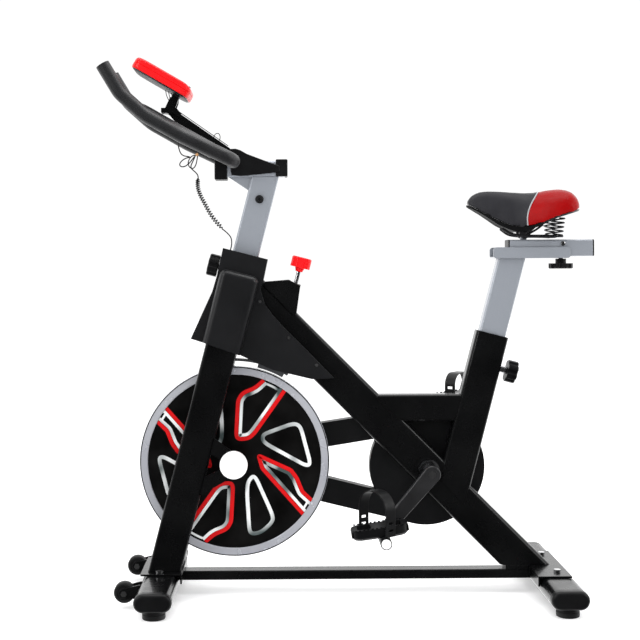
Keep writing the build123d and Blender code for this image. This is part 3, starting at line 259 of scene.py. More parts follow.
# Each plain finish; grain, mottle and orange_peel are (scale, strength).
FINISHES = {
    "gloss_black": dict(colour=(0.0018, 0.0019, 0.0021), rough=0.28, coat=0.22, coat_rough=0.05,
        uneven=0.03, mottle=(9, 0.1), orange_peel=(260, 0.02), specular=0.14),
    "silver_paint": dict(colour=(0.285, 0.305, 0.34), rough=0.36, metal=0.35, coat=0.35, coat_rough=0.14,
        uneven=0.04, mottle=(900, 0.04), grain=(1400, 0.03)),
    "shroud_plastic": dict(colour=(0.0058, 0.006, 0.007), rough=0.4, uneven=0.04, mottle=(11, 0.08),
        grain=(1100, 0.12), specular=0.35),
    "guard_plastic": dict(colour=(0.0045, 0.0047, 0.0055), rough=0.46, uneven=0.04, mottle=(10, 0.1),
        grain=(1000, 0.12), specular=0.3),
    "rubber_black": dict(colour=(0.009, 0.009, 0.0095), rough=0.6, uneven=0.06, mottle=(26, 0.2),
        grain=(700, 0.2), specular=0.3),
    "zinc_steel": dict(colour=(0.52, 0.52, 0.53), rough=0.28, metal=1.0, uneven=0.1, mottle=(70, 0.12),
        grain=(800, 0.1)),
    "dark_steel": dict(colour=(0.02, 0.02, 0.022), rough=0.34, metal=0.5, uneven=0.06, mottle=(60, 0.15),
        grain=(900, 0.08), specular=0.35),
    "chrome": dict(colour=(0.72, 0.73, 0.75), rough=0.12, metal=1.0, uneven=0.04, mottle=(40, 0.05)),
    "disc_black": dict(colour=(0.0012, 0.001, 0.001), rough=0.34, coat=0.08, coat_rough=0.12, uneven=0.04,
        mottle=(16, 0.2), orange_peel=(240, 0.02), specular=0.15),
    "decal_red": dict(colour=(0.5, 0.0015, 0.003), rough=0.36, uneven=0.05, mottle=(60, 0.05), grain=(1500,
        0.03), specular=0.12),
    "white_gloss": dict(colour=(0.9, 0.9, 0.9), rough=0.28, coat=0.3, uneven=0.04, mottle=(30, 0.02),
        grain=(900, 0.05)),
    "red_gloss": dict(colour=(0.66, 0.003, 0.005), rough=0.3, coat=0.05, coat_rough=0.08, uneven=0.05,
        mottle=(24, 0.04), orange_peel=(300, 0.01), specular=0.16),
    "display_glass": dict(colour=(0.1, 0.12, 0.11), rough=0.12, coat=0.6, coat_rough=0.03, uneven=0.03,
        mottle=(30, 0.1)),
    "console_grey": dict(colour=(0.006, 0.0063, 0.0075), rough=0.45, uneven=0.06, mottle=(18, 0.15),
        grain=(1200, 0.08), specular=0.25),
    "bracket_grey": dict(colour=(0.045, 0.047, 0.052), rough=0.42, uneven=0.06, mottle=(30, 0.12),
        grain=(1000, 0.12)),
    "cord_jacket": dict(colour=(0.008, 0.008, 0.009), rough=0.38, uneven=0.06, mottle=(120, 0.2),
        grain=(2400, 0.12)),
    "tie_orange": dict(colour=(0.62, 0.33, 0.14), rough=0.5, uneven=0.05, mottle=(200, 0.15), grain=(1500,
        0.3)),
    "liner_plastic": dict(colour=(0.02, 0.02, 0.022), rough=0.5, uneven=0.05, mottle=(25, 0.2), grain=(900,
        0.2)),
    "piping_grey": dict(colour=(0.3, 0.31, 0.32), rough=0.42, uneven=0.05, mottle=(80, 0.12), grain=(1200,
        0.2)),
    "moulded_black": dict(colour=(0.0028, 0.0029, 0.0034), rough=0.40, uneven=0.05, mottle=(14, 0.15),
        grain=(900, 0.1), specular=0.22),
    "crank_black": dict(colour=(0.012, 0.012, 0.013), rough=0.32, coat=0.3, coat_rough=0.1, uneven=0.06,
        mottle=(20, 0.2), orange_peel=(300, 0.05)),
}


def finish(name):
    return surface(name, **FINISHES[name])


def polished_rim():
    """Turned and polished rim: fine rings round the wheel's axis, brighter than the frame's chrome."""
    mat = principled("polished_rim", (0.50, 0.51, 0.55), 0.26, metal=0.45)
    bsdf = mat.node_tree.nodes["Principled BSDF"]
    radius = wheel_radius(mat)
    rings = new_node(mat, "ShaderNodeTexNoise", noise_dimensions="1D")
    rings.inputs["Scale"].default_value = 2600
    rings.inputs["Detail"].default_value = 2.0
    link(mat, radius, rings.inputs["W"])
    bump(mat, rings.outputs["Fac"], 0.10, 0.0002)
    link(mat, spread(mat, noise_factor(mat, 22, 3), 0.18, 0.30), bsdf.inputs["Roughness"])
    tone = spread(mat, noise_factor(mat, 5, 2), 0, 1)
    link(mat, mix_colour(mat, tone, (0.47, 0.48, 0.53), (0.58, 0.59, 0.63)), bsdf.inputs["Base Color"])
    return mat


def wheel_radius(mat):
    """Distance from the flywheel's axis, from Object coordinates."""
    shift = new_node(mat, "ShaderNodeVectorMath", operation="SUBTRACT")
    shift.inputs[1].default_value = WHEEL_CENTRE
    flat = new_node(mat, "ShaderNodeVectorMath", operation="MULTIPLY")
    flat.inputs[1].default_value = (1, 0, 1)
    size = new_node(mat, "ShaderNodeVectorMath", operation="LENGTH")
    link(mat, object_coords(mat), shift.inputs[0])
    link(mat, shift.outputs[0], flat.inputs[0])
    link(mat, flat.outputs[0], size.inputs[0])
    return size.outputs["Value"]


def decal_silver():
    """Printed silver line that runs from white to dark grey along the spoke, as the print does."""
    mat = principled("decal_silver", (0.6, 0.62, 0.62), 0.34, metal=0.25)
    bsdf = mat.node_tree.nodes["Principled BSDF"]
    wave = noise_factor(mat, 17, 1.0, stretch=(1.0, 0.2, 0.7))
    tone = mix_colour(mat, spread(mat, wave, 0, 1, 0.40, 0.58), (0.06, 0.085, 0.085), (0.86, 0.88, 0.88))
    link(mat, tone, bsdf.inputs["Base Color"])
    link(mat, spread(mat, noise_factor(mat, 60), 0.28, 0.42), bsdf.inputs["Roughness"])
    return mat


def foam():
    """Closed-cell foam sleeve: dull, with fine cells and a soft bloom on its top edges."""
    mat = surface("grip_foam", (0.008, 0.0082, 0.0098), 0.47, uneven=0.06, mottle=(20, 0.12), specular=0.5)
    cells = new_node(mat, "ShaderNodeTexVoronoi")
    cells.inputs["Scale"].default_value = 1500
    link(mat, object_coords(mat), cells.inputs["Vector"])
    bump(mat, cells.outputs["Distance"], 0.14, 0.0003)
    mat.node_tree.nodes["Principled BSDF"].inputs["Sheen Weight"].default_value = 0.1
    mat.node_tree.nodes["Principled BSDF"].inputs["Sheen Roughness"].default_value = 0.4
    return mat


def seam_distance(mat):
    """How far behind the saddle's seam a point is, in metres: positive in the red part."""
    split = new_node(mat, "ShaderNodeSeparateXYZ")
    link(mat, object_coords(mat), split.inputs[0])

    def maths(operation, first, second):
        node = new_node(mat, "ShaderNodeMath", operation=operation)
        for socket, value in zip(node.inputs, (first, second)):
            if isinstance(value, (int, float)):
                socket.default_value = value
            else:
                link(mat, value, socket)
        return node.outputs[0]

    rise = maths("SUBTRACT", split.outputs["Z"], SEAM_LOW)
    curve = maths("MULTIPLY", maths("MULTIPLY", rise, rise), SEAM_CURVE)
    return maths("SUBTRACT", maths("SUBTRACT", split.outputs["X"], SEAM_X), curve)


def saddle_vinyl():
    """Two vinyls met at the seam: dark grey in front, red behind, with leather grain and stretch lines."""
    mat = principled("saddle_vinyl", (0.05, 0.05, 0.05), 0.34, coat=0.0, coat_rough=0.22, specular=0.08)
    bsdf = mat.node_tree.nodes["Principled BSDF"]
    mask = spread(mat, seam_distance(mat), 0, 1, -0.0003, 0.0003)
    grey_tone, red_tone = (spread(mat, noise_factor(mat, 22, 3), 0, 1) for _ in range(2))
    grey = mix_colour(mat, grey_tone, (0.017, 0.017, 0.0195), (0.024, 0.024, 0.027))
    red = mix_colour(mat, red_tone, (0.20, 0.0005, 0.0010), (0.26, 0.0008, 0.0013))
    link(mat, mix_colour(mat, mask, grey, red), bsdf.inputs["Base Color"])
    link(mat, spread(mat, noise_factor(mat, 45, 4), 0.27, 0.42), bsdf.inputs["Roughness"])
    cells = new_node(mat, "ShaderNodeTexVoronoi", feature="DISTANCE_TO_EDGE")
    cells.inputs["Scale"].default_value = 620
    link(mat, object_coords(mat), cells.inputs["Vector"])
    bump(mat, spread(mat, cells.outputs["Distance"], 0, 1, 0.0, 0.25), 0.16, 0.0003)
    bump(mat, noise_factor(mat, 60, 2), 0.10, 0.001)
    return mat


# ---------------------------------------------------------------- mesh helpers
def add_object(name, bm, mat, body, smooth=True):
    piece = bpy.data.objects.new(name, finish_bmesh(bm, name))
    bpy.context.scene.collection.objects.link(piece)
    piece.data.materials.append(mat)
    for polygon in piece.data.polygons:
        polygon.use_smooth = smooth
    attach(piece, body)
    return piece


def mm(points):
    """Points given in millimetres, as vectors in metres."""
    return [Vector(point) * MM for point in points]


def finish_bmesh(bm, name):
    bmesh.ops.recalc_face_normals(bm, faces=bm.faces)
    mesh = bpy.data.meshes.new(name)
    bm.to_mesh(mesh)
    bm.free()
    return mesh


def skin(bm, rows):
    """Faces between neighbouring rings of points."""
    count = len(rows[0])
    for a, b in zip(rows, rows[1:]):
        for k in range(count):
            n = (k + 1) % count
            bm.faces.new((a[k], a[n], b[n], b[k]))


def add_prism(bm, outline, ends):
    """Outline in X and Z carried straight from one y to another."""
    rows = [[bm.verts.new((x, y, z)) for x, z in outline] for y in ends]
    bm.faces.new(rows[0])
    bm.faces.new(rows[1][::-1])
    skin(bm, rows)


def frames_along(path):
    """A tangent and two square directions at each point, twisting as little as possible."""
    points = [Vector(p) for p in path]
    tangents = []
    for i in range(len(points)):
        before, after = points[max(i - 1, 0)], points[min(i + 1, len(points) - 1)]
        tangents.append((after - before).normalized())
    start = Vector((0, 1, 0)) if abs(tangents[0].y) < 0.9 else Vector((1, 0, 0))
    side = (start - start.dot(tangents[0]) * tangents[0]).normalized()
    result = []
    for i, tangent in enumerate(tangents):
        if i:
            turn = tangents[i - 1].rotation_difference(tangent)
            side = (turn @ side)
            side = (side - side.dot(tangent) * tangent).normalized()
        result.append((tangent, side, tangent.cross(side)))
    return points, result


def add_tube(bm, path, radius, sides=12, round_ends=True):
    """Tube along path; radius is a number or a function of the index. Ends close in a small dome."""
    points, axes = frames_along(path)
    size = radius if callable(radius) else (lambda i: radius)
    rings = []

    def ring(centre, side, up, r):
        rings.append([bm.verts.new(centre + (side * math.cos(a) + up * math.sin(a)) * r)
                      for a in (2 * math.pi * k / sides for k in range(sides))])

    dome = (0.35, 0.75, 0.95) if round_ends else ()
    first, last = axes[0], axes[-1]
    for share in dome:
        offset = first[0] * -size(0) * math.sqrt(1 - share * share) * 0.6
        ring(points[0] + offset, first[1], first[2], size(0) * share)
    for i, point in enumerate(points):
        ring(point, axes[i][1], axes[i][2], size(i))
    for share in reversed(dome):
        offset = last[0] * size(len(points) - 1) * math.sqrt(1 - share * share) * 0.6
        ring(points[-1] + offset, last[1], last[2], size(len(points) - 1) * share)
    skin(bm, rings)
    bm.faces.new(rings[0][::-1])
    bm.faces.new(rings[-1])


def tube_piece(name, path, radius, mat, body, sides=12):
    bm = bmesh.new()
    add_tube(bm, path, radius, sides)
    return add_object(name, bm, mat, body)


def add_lathe(bm, profile, centre, axis, sides=48, wobble=None):
    """Profile of (radius, height) turned about an axis through centre; wobble(angle, radius) scales it."""
    axis = Vector(axis).normalized()
    start = Vector((0, 1, 0)) if abs(axis.y) < 0.9 else Vector((1, 0, 0))
    side = (start - start.dot(axis) * axis).normalized()
    up = axis.cross(side)
    rings = []
    for radius, height in profile:
        ring = []
        for k in range(sides):
            angle = 2 * math.pi * k / sides
            r = radius * (wobble(angle, radius) if wobble else 1.0)
            out = (side * math.cos(angle) + up * math.sin(angle)) * r
            ring.append(bm.verts.new(Vector(centre) + axis * height + out))
        rings.append(ring)
    skin(bm, rings)
    bm.faces.new(rings[0][::-1])
    bm.faces.new(rings[-1])


def smooth_path(points, steps=8):
    """Catmull-Rom curve through points."""
    pts = [Vector(p) for p in points]
    padded = [2 * pts[0] - pts[1]] + pts + [2 * pts[-1] - pts[-2]]
    result = []
    for i in range(1, len(padded) - 2):
        p0, p1, p2, p3 = padded[i - 1:i + 3]
        for k in range(steps):
            t = k / steps
            result.append(0.5 * (2 * p1 + (p2 - p0) * t + (2 * p0 - 5 * p1 + 4 * p2 - p3) * t * t
                                 + (3 * p1 - p0 - 3 * p2 + p3) * t * t * t))
    result.append(pts[-1])
    return result


def lerp_table(table, x):
    """Value between the rows of (x, value), held at both ends, straight between."""
    if x <= table[0][0]:
        return table[0][1]
    for (x0, v0), (x1, v1) in zip(table, table[1:]):
        if x <= x1:
            t = (x - x0) / (x1 - x0)
            return v0 + (v1 - v0) * t
    return table[-1][1]


def shade_smooth_by_angle(piece, degrees=35):
    """Smooth shading with sharp edges where faces turn by more than the angle."""
    bm = bmesh.new()
    bm.from_mesh(piece.data)
    for face in bm.faces:
        face.smooth = True
    for edge in bm.edges:
        if len(edge.link_faces) == 2:
            edge.smooth = edge.calc_face_angle(0.0) < math.radians(degrees)
    bm.to_mesh(piece.data)
    bm.free()


# ---------------------------------------------------------------- saddle
SEAM_X = 0.3995
SEAM_LOW = 0.842
SEAM_CURVE = 7.2
SADDLE_NOSE = 0.2705
SADDLE_TAIL = 0.5185
SADDLE_TOP = [(0.2705, 0.882), (0.276, 0.893), (0.284, 0.902), (0.297, 0.9085), (0.315, 0.9115),
              (0.340, 0.9110), (0.368, 0.9088), (0.400, 0.9068), (0.428, 0.9075), (0.450, 0.9115),
              (0.472, 0.9135), (0.490, 0.9115), (0.503, 0.9055), (0.512, 0.8960), (0.5185, 0.884)]
SADDLE_EDGE = [(0.2705, 0.879), (0.302, 0.8625), (0.341, 0.8405), (0.378, 0.8265), (0.404, 0.8275),
               (0.433, 0.837), (0.459, 0.8485), (0.493, 0.8585), (0.5185, 0.866)]
SADDLE_HALF = [(0.2705, 0.006), (0.274, 0.0125), (0.280, 0.0175), (0.295, 0.0225), (0.320, 0.0265),
               (0.345, 0.0310), (0.370, 0.0385), (0.392, 0.0500), (0.415, 0.0660), (0.440, 0.0820),
               (0.462, 0.0915), (0.480, 0.0940), (0.496, 0.0900), (0.508, 0.0780), (0.515, 0.0600),
               (0.5185, 0.0360)]


def saddle_section(x, y_share):
    """Point of the saddle's cover at x, from the middle (0) to its edge (1 or -1)."""
    half = lerp_table(SADDLE_HALF, x)
    top = lerp_table(SADDLE_TOP, x)
    edge = lerp_table(SADDLE_EDGE, x)
    tail = max(0.0, min(1.0, (x - 0.39) / 0.08))
    power = 2.1 + 1.0 * tail
    share = abs(y_share)
    dome = max(0.0, 1 - share ** power) ** (1 / (1.9 + 0.5 * tail))
    groove = 0.0045 * tail * math.exp(-(share / 0.16) ** 2)
    return Vector((x, half * y_share, edge + (top - edge) * dome - groove))


def saddle_shell():
    """Closed cover: the padded top from nose to tail and a shallow underside."""
    stations = 56
    across = 40
    bm = bmesh.new()
    rows = []
    for i in range(stations + 1):
        share = 0.5 - 0.5 * math.cos(math.pi * i / stations)
        x = SADDLE_NOSE + (SADDLE_TAIL - SADDLE_NOSE) * share
        row = []
        for k in range(across + 1):
            angle = math.pi * (k / across - 0.5)
            row.append(bm.verts.new(saddle_section(x, math.sin(angle))))
        low = lerp_table(SADDLE_EDGE, x)
        half = lerp_table(SADDLE_HALF, x)
        for k in range(1, 10):
            y_share = 1 - 2 * k / 10
            row.append(bm.verts.new(Vector((x, half * y_share, low + 0.006 * (1 - y_share ** 4)))))
        rows.append(row)
    skin(bm, rows)
    bm.faces.new(rows[0][::-1])
    bm.faces.new(rows[-1])
    return finish_bmesh(bm, "saddle_cover")


def apply_modifiers(piece):
    graph = bpy.context.evaluated_depsgraph_get()
    mesh = bpy.data.meshes.new_from_object(piece.evaluated_get(graph))
    piece.modifiers.clear()
    piece.data = mesh


def inflate(piece, voxel, pressure, cap):
    """Swells a closed mesh as stuffed vinyl under a little pressure, each point by at most cap."""
    remesh = piece.modifiers.new("remesh", "REMESH")
    remesh.mode = "VOXEL"
    remesh.voxel_size = voxel
    apply_modifiers(piece)
    before = [v.co.copy() for v in piece.data.vertices]
    pins = piece.vertex_groups.new(name="pins")
    for v in piece.data.vertices:
        low = lerp_table(SADDLE_EDGE, v.co.x) + 0.004
        if v.co.z < low:
            pins.add([v.index], 1.0, "REPLACE")
    cloth = piece.modifiers.new("cloth", "CLOTH")
    settings = cloth.settings
    settings.quality = 6
    settings.mass = 0.3
    settings.tension_stiffness = 18
    settings.compression_stiffness = 18
    settings.shear_stiffness = 8
    settings.bending_stiffness = 1.5
    settings.use_pressure = True
    settings.uniform_pressure_force = pressure
    settings.vertex_group_mass = "pins"
    settings.effector_weights.gravity = 0
    cloth.collision_settings.use_collision = False
    scene = bpy.context.scene
    for step in range(1, 21):
        scene.frame_set(step)
    graph = bpy.context.evaluated_depsgraph_get()
    after = [v.co.copy() for v in piece.evaluated_get(graph).data.vertices]
    piece.modifiers.clear()
    scene.frame_set(1)
    for v, old, new in zip(piece.data.vertices, before, after):
        move = new - old
        if move.length > cap:
            move *= cap / move.length
        v.co = old + move
    smooth = piece.modifiers.new("smooth", "SMOOTH")
    smooth.factor = 0.5
    smooth.iterations = 4
    subdivide = piece.modifiers.new("subdivide", "SUBSURF")
    subdivide.levels = subdivide.render_levels = 1
    apply_modifiers(piece)
    for polygon in piece.data.polygons:
        polygon.use_smooth = True


def seam_path(tree):
    """Points round the cover where its two vinyls meet, just proud of the surface."""
    path = []
    count = 72
    for k in range(count + 1):
        y_share = math.sin(math.pi * (k / count - 0.5) * 0.995)
        x = SEAM_X
        for _ in range(12):
            point = saddle_section(x, y_share)
            x = SEAM_X + SEAM_CURVE * (point.z - SEAM_LOW) ** 2
        near, normal, _, _ = tree.find_nearest(saddle_section(x, y_share))
        for _ in range(4):
            near.x = SEAM_X + SEAM_CURVE * (near.z - SEAM_LOW) ** 2
            near, normal, _, _ = tree.find_nearest(near)
        path.append(near + normal * 0.0004)
    return path


def make_saddle():
    """Padded cover with its seam, the moulded base, and the clamp with its rails and springs."""
    cover = bpy.data.objects.new("saddle_cover", saddle_shell())
    bpy.context.scene.collection.objects.link(cover)
    inflate(cover, 0.0045, 1.6, 0.0035)
    cover.data.materials.clear()
    cover.data.materials.append(saddle_vinyl())
    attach(cover, "saddle")
    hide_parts("saddle_pad")
    graph = bpy.context.evaluated_depsgraph_get()
    tree = BVHTree.FromObject(cover, graph)
    path = seam_path(tree)
    tube_piece("saddle_piping", path, 0.0016, finish("piping_grey"), "saddle", 8)
    make_saddle_base()
    make_saddle_springs()


def make_saddle_base():
    """Moulded base: a dish that follows the cover's edge, with a rolled lip."""
    stations = 40
    bm = bmesh.new()
    outer, inner, under = [], [], []
    for side in (1, -1):
        for i in range(stations + 1):
            share = (i if side > 0 else stations - i) / stations
            x = SADDLE_NOSE + 0.002 + (SADDLE_TAIL - SADDLE_NOSE - 0.005) * share
            half = max(0.004, lerp_table(SADDLE_HALF, x) - 0.002)
            edge = lerp_table(SADDLE_EDGE, x)
            drop = 0.0075 * math.exp(-((x - 0.372) / 0.055) ** 2) + 0.002
            outer.append(bm.verts.new((x, side * half, edge + 0.0015)))
            under.append(bm.verts.new((x, side * half * 0.93, edge - drop)))
            inner.append(bm.verts.new((x, side * half * 0.55, edge - drop * 0.4 + 0.002)))
    count = len(outer)
    for k in range(count):
        n = (k + 1) % count
        bm.faces.new((outer[k], outer[n], under[n], under[k]))
        bm.faces.new((under[k], under[n], inner[n], inner[k]))
    half_count = stations + 1
    for i in range(stations):
        a, b = i, i + 1
        c, d = count - 1 - i, count - 2 - i
        bm.faces.new((inner[a], inner[b], inner[d], inner[c]))
        bm.faces.new((outer[a], outer[b], outer[d], outer[c]))
    base = add_object("saddle_base", bm, finish("moulded_black"), "saddle")
    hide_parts("saddle_pan")
    shade_smooth_by_angle(base, 50)


# One side's wires, and the turned parts as (radius, height).
SADDLE_RAIL = [(0.352, 0.012, 0.8245), (0.372, 0.020, 0.8125), (0.400, 0.021, 0.8085),
               (0.430, 0.022, 0.8080), (0.455, 0.030, 0.8075), (0.468, 0.036, 0.8070)]
SADDLE_STAY = [(0.407, 0.022, 0.812), (0.424, 0.027, 0.822), (0.438, 0.034, 0.833)]
SPRING_SEAT = [(0.012, -0.001), (0.0125, 0.001), (0.012, 0.003)]
CLAMP_NUT = [(0.0105, 0.0), (0.0125, 0.001), (0.0125, 0.012), (0.0095, 0.0135), (0.0045, 0.0138),
             (0.004, 0.018)]


def make_saddle_springs():
    """Clamp, wire rails and two coil springs, wider at the top."""
    steel = finish("dark_steel")
    clamp_x, clamp_z = 0.401, 0.815
    bm = bmesh.new()
    turns, wire = 4.2, 0.0018
    for side in SIDES:
        path = []
        for k in range(int(turns * 24) + 1):
            share = k / (turns * 24)
            angle = 2 * math.pi * share * turns
            radius = 0.0105 + 0.0055 * share
            path.append((0.471 + radius * math.cos(angle), side * 0.036 + radius * math.sin(angle),
                         0.8075 + 0.0395 * share + 0.0015))
        add_tube(bm, path, wire, 8)
        for wire_path, radius, round_count in ((SADDLE_RAIL, 0.0033, 10), (SADDLE_STAY, 0.0024, 8)):
            near = smooth_path([(x, side * y, z) for x, y, z in wire_path])
            add_tube(bm, near, radius, round_count)
        add_lathe(bm, SPRING_SEAT, (0.471, side * 0.036, 0.8055), (0, 0, 1), 24)
        add_lathe(bm, CLAMP_NUT, (clamp_x, side * 0.0096, clamp_z), (0, side, 0), 28)
    springs = add_object("saddle_springs", bm, steel, "saddle")
    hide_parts("saddle_frame")


# ---------------------------------------------------------------- flywheel print
def offset_outline(points, distance, closed):
    """Line moved sideways by distance, in its own X-Z plane."""
    result = []
    count = len(points)
    for i, here in enumerate(points):
        before = points[i - 1] if (closed or i) else None
        after = points[(i + 1) % count] if (closed or i < count - 1) else None
        normals = []
        for a, b in ((before, here), (here, after)):
            if a is None or b is None:
                continue
            along = (b[0] - a[0], b[1] - a[1])
            size = math.hypot(*along)
            normals.append((-along[1] / size, along[0] / size))
        if len(normals) == 1:
            normals *= 2
        nx, nz = normals[0][0] + normals[1][0], normals[0][1] + normals[1][1]
        scale = 2 / max(0.5, (nx * nx + nz * nz))
        result.append((here[0] + nx * distance * scale, here[1] + nz * distance * scale))
    return result


def rounded_outline(points, radius, closed, steps=6):
    """Corners of a line cut to quadratic bends of about that radius."""
    result = []
    count = len(points)
    for i, here in enumerate(points):
        if not closed and i in (0, count - 1):
            result.append(here)
            continue
        before, after = points[i - 1], points[(i + 1) % count]

        def toward(other):
            size = math.hypot(other[0] - here[0], other[1] - here[1])
            share = min(radius, size * 0.45) / size
            return here[0] + (other[0] - here[0]) * share, here[1] + (other[1] - here[1]) * share

        a, b = toward(before), toward(after)
        for k in range(steps + 1):
            t = k / steps
            bend = [(1 - t) ** 2 * a[j] + 2 * t * (1 - t) * here[j] + t * t * b[j] for j in (0, 1)]
            result.append(tuple(bend))
    return result


def add_ribbon(bm, points, width, closed, side, lift, turn):
    """Flat printed line on one face of the flywheel; side is -1 on the rider's left."""
    inner = offset_outline(points, -width / 2, closed)
    outer = offset_outline(points, width / 2, closed)
    y = side * (DISC_FACE + lift)
    rows = []
    for a, b in zip(inner, outer):
        row = []
        for x, z in (a, b):
            radius = math.hypot(x, z)
            if radius > PRINT_RADIUS:
                x, z = x * PRINT_RADIUS / radius, z * PRINT_RADIUS / radius
            if side > 0:
                x = -x
            cx, cz = math.cos(turn) * x - math.sin(turn) * z, math.sin(turn) * x + math.cos(turn) * z
            row.append(bm.verts.new(WHEEL_CENTRE + Vector((cx * MM, y, cz * MM))))
        rows.append(row)
    pairs = list(zip(rows, rows[1:])) + ([(rows[-1], rows[0])] if closed else [])
    for a, b in pairs:
        bm.faces.new((a[0], a[1], b[1], b[0]))


DISC_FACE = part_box("flywheel_disc")[1].y
PRINT_RADIUS = 196.0
RIM_LINE = 189.5
# Outlines of the printed spokes, millimetres from the wheel's centre; each is drawn again half a turn on.
RED_TALL = [(67.4, 183.3), (48.4, 165.8), (19.8, 154.7), (8.7, 138.8), (4.0, 56.3), (10.3, 49.3),
            (32.5, 51.6), (45.2, 62.7), (117.0, 163.0)]
RED_LOW = [(178.0, -92.0), (153.1, -70.6), (140.4, -38.9), (127.7, -21.4), (54.7, 11.9), (62.7, -16.7),
           (156.0, -122.0)]
SILVER_WIDE = [(64.3, 56.3), (70.0, 62.0), (134.1, 84.9), (149.9, 78.5), (172.1, -7.1), (162.6, -11.9),
               (73.8, 37.3), (64.0, 47.0)]
SILVER_NARROW = [(40.5, -34.1), (29.4, -48.4), (27.8, -73.8), (32.5, -159.4), (40.5, -165.8),
                 (61.1, -161.0), (86.5, -137.2), (84.9, -121.4), (48.4, -38.9)]


def make_flywheel_print():
    """Red and silver printed spokes on both faces of the disc."""
    red, silver = finish("decal_red"), decal_silver()
    for side in SIDES:
        name = "left" if side < 0 else "right"
        red_bm, silver_bm = bmesh.new(), bmesh.new()
        for turn in (0.0, math.pi):
            for outline, corner in ((RED_TALL, 11), (RED_LOW, 5)):
                line = rounded_outline(outline, corner, False)
                add_ribbon(red_bm, line, 9.0, False, side, 0.0003, turn)
                inside = offset_outline(line, 8.6, False)
                add_ribbon(silver_bm, inside, 7.0, False, side, 0.00025, turn)
            rim_arc(silver_bm, RED_TALL, side, turn)
            rim_arc(silver_bm, RED_LOW, side, turn)
            for outline in (SILVER_WIDE, SILVER_NARROW):
                line = rounded_outline(outline, 16, True)
                add_ribbon(silver_bm, line, 8.5, True, side, 0.00025, turn)
        add_object(f"print_red_{name}", red_bm, red, "flywheel", False)
        add_object(f"print_silver_{name}", silver_bm, silver, "flywheel", False)


def rim_arc(bm, outline, side, turn):
    """Silver line along the rim between an open spoke's two ends."""
    first, last = outline[0], outline[-1]
    a0 = math.atan2(first[1], first[0])
    a1 = math.atan2(last[1], last[0])
    sign = 1 if a1 > a0 else -1
    a0 += sign * 0.05
    a1 -= sign * 0.05
    angles = [a0 + (a1 - a0) * k / 12 for k in range(13)]
    arc = [(RIM_LINE * math.cos(a), RIM_LINE * math.sin(a)) for a in angles]
    add_ribbon(bm, arc, 5.0, False, side, 0.0002, turn)


# ---------------------------------------------------------------- sensor lead
LEAD = [(-391, 0, 1089), (-391, 0, 1060), (-386, 0, 1036), (-383, -2, 1014), (-376, -4, 996)]
SLACK_CENTRE = Vector((-361.0, -5.5, 981.0))
EXIT = [(-357, -6, 969), (-345, -6, 959), (-339, -6, 952)]
COIL = [(-338, -6, 947), (-341, -6, 930), (-335, -6, 908), (-323, -6, 886), (-312, -6, 864),
        (-298, -6, 845), (-281, -5, 826)]
TAIL = [(-281, -5, 826), (-272, -4, 819), (-264, -3, 809), (-263, -2, 796), (-265, -2, 785),
        (-269, -3, 773)]
CORD_WIDE = 0.0027
COIL_TURNS = 24
COIL_RING = 0.0043


def curve_points(points, order, name="route"):
    """Points along the smooth curve that a NURBS spline makes of its control points."""
    curve = bpy.data.curves.new(name, "CURVE")
    curve.dimensions = "3D"
    curve.resolution_u = 8
    spline = curve.splines.new("NURBS")
    spline.points.add(len(points) - 1)
    for point, place in zip(spline.points, points):
        point.co = (*place, 1.0)
    spline.order_u = order
    spline.use_endpoint_u = True
    holder = bpy.data.objects.new(name, curve)
    bpy.context.scene.collection.objects.link(holder)
    graph = bpy.context.evaluated_depsgraph_get()
    mesh = bpy.data.meshes.new_from_object(holder.evaluated_get(graph))
    line = [v.co.copy() for v in mesh.vertices]
    bpy.data.objects.remove(holder)
    return line


def coil_points():
    """The curly stretch: turns about its own middle line, a little looser towards the foot."""
    middle_line = curve_points(mm(COIL), 3, "coil_route")
    points, axes = frames_along(middle_line)
    lengths = [0.0]
    for a, b in zip(points, points[1:]):
        lengths.append(lengths[-1] + (b - a).length)
    per_turn = 12
    result = []
    total = COIL_TURNS * per_turn
    for k in range(total + 1):
        share = k / total
        eased = share ** 1.22
        want = lengths[-1] * (0.015 + 0.97 * eased)
        i = next(j for j, length in enumerate(lengths) if length >= want)
        i = max(i, 1)
        t = (want - lengths[i - 1]) / (lengths[i] - lengths[i - 1])
        centre = points[i - 1].lerp(points[i], t)
        tangent, side, up = axes[i]
        angle = 2 * math.pi * k / per_turn
        ends = min(1.0, share * 14, (1 - share) * 14)
        ring = COIL_RING * max(0.12, ends)
        result.append(centre + (side * math.cos(angle) + up * math.sin(angle)) * ring)
    return result


def slack_loops():
    """Two loose loops of the lead's tied slack: one low to the front, one narrow and upright."""
    low_loop = [(8, 12), (-6, 9), (-16, 2), (-20, -6), (-15, -11), (-5, -9), (5, 0), (12, 10), (18, 16)]
    tall_loop = [(22, 18), (20, 4), (17, -8), (11, -15), (3, -12), (-1, -2), (4, 10), (12, 16),
                 (17, 15), (12, 4)]
    loops = [(x, -4.0 + k * 0.4, z) for k, (x, z) in enumerate(low_loop)]
    loops += [(x, 1.0 - k * 0.4, z) for k, (x, z) in enumerate(tall_loop)]
    return [(SLACK_CENTRE + Vector(point)) * MM for point in loops]


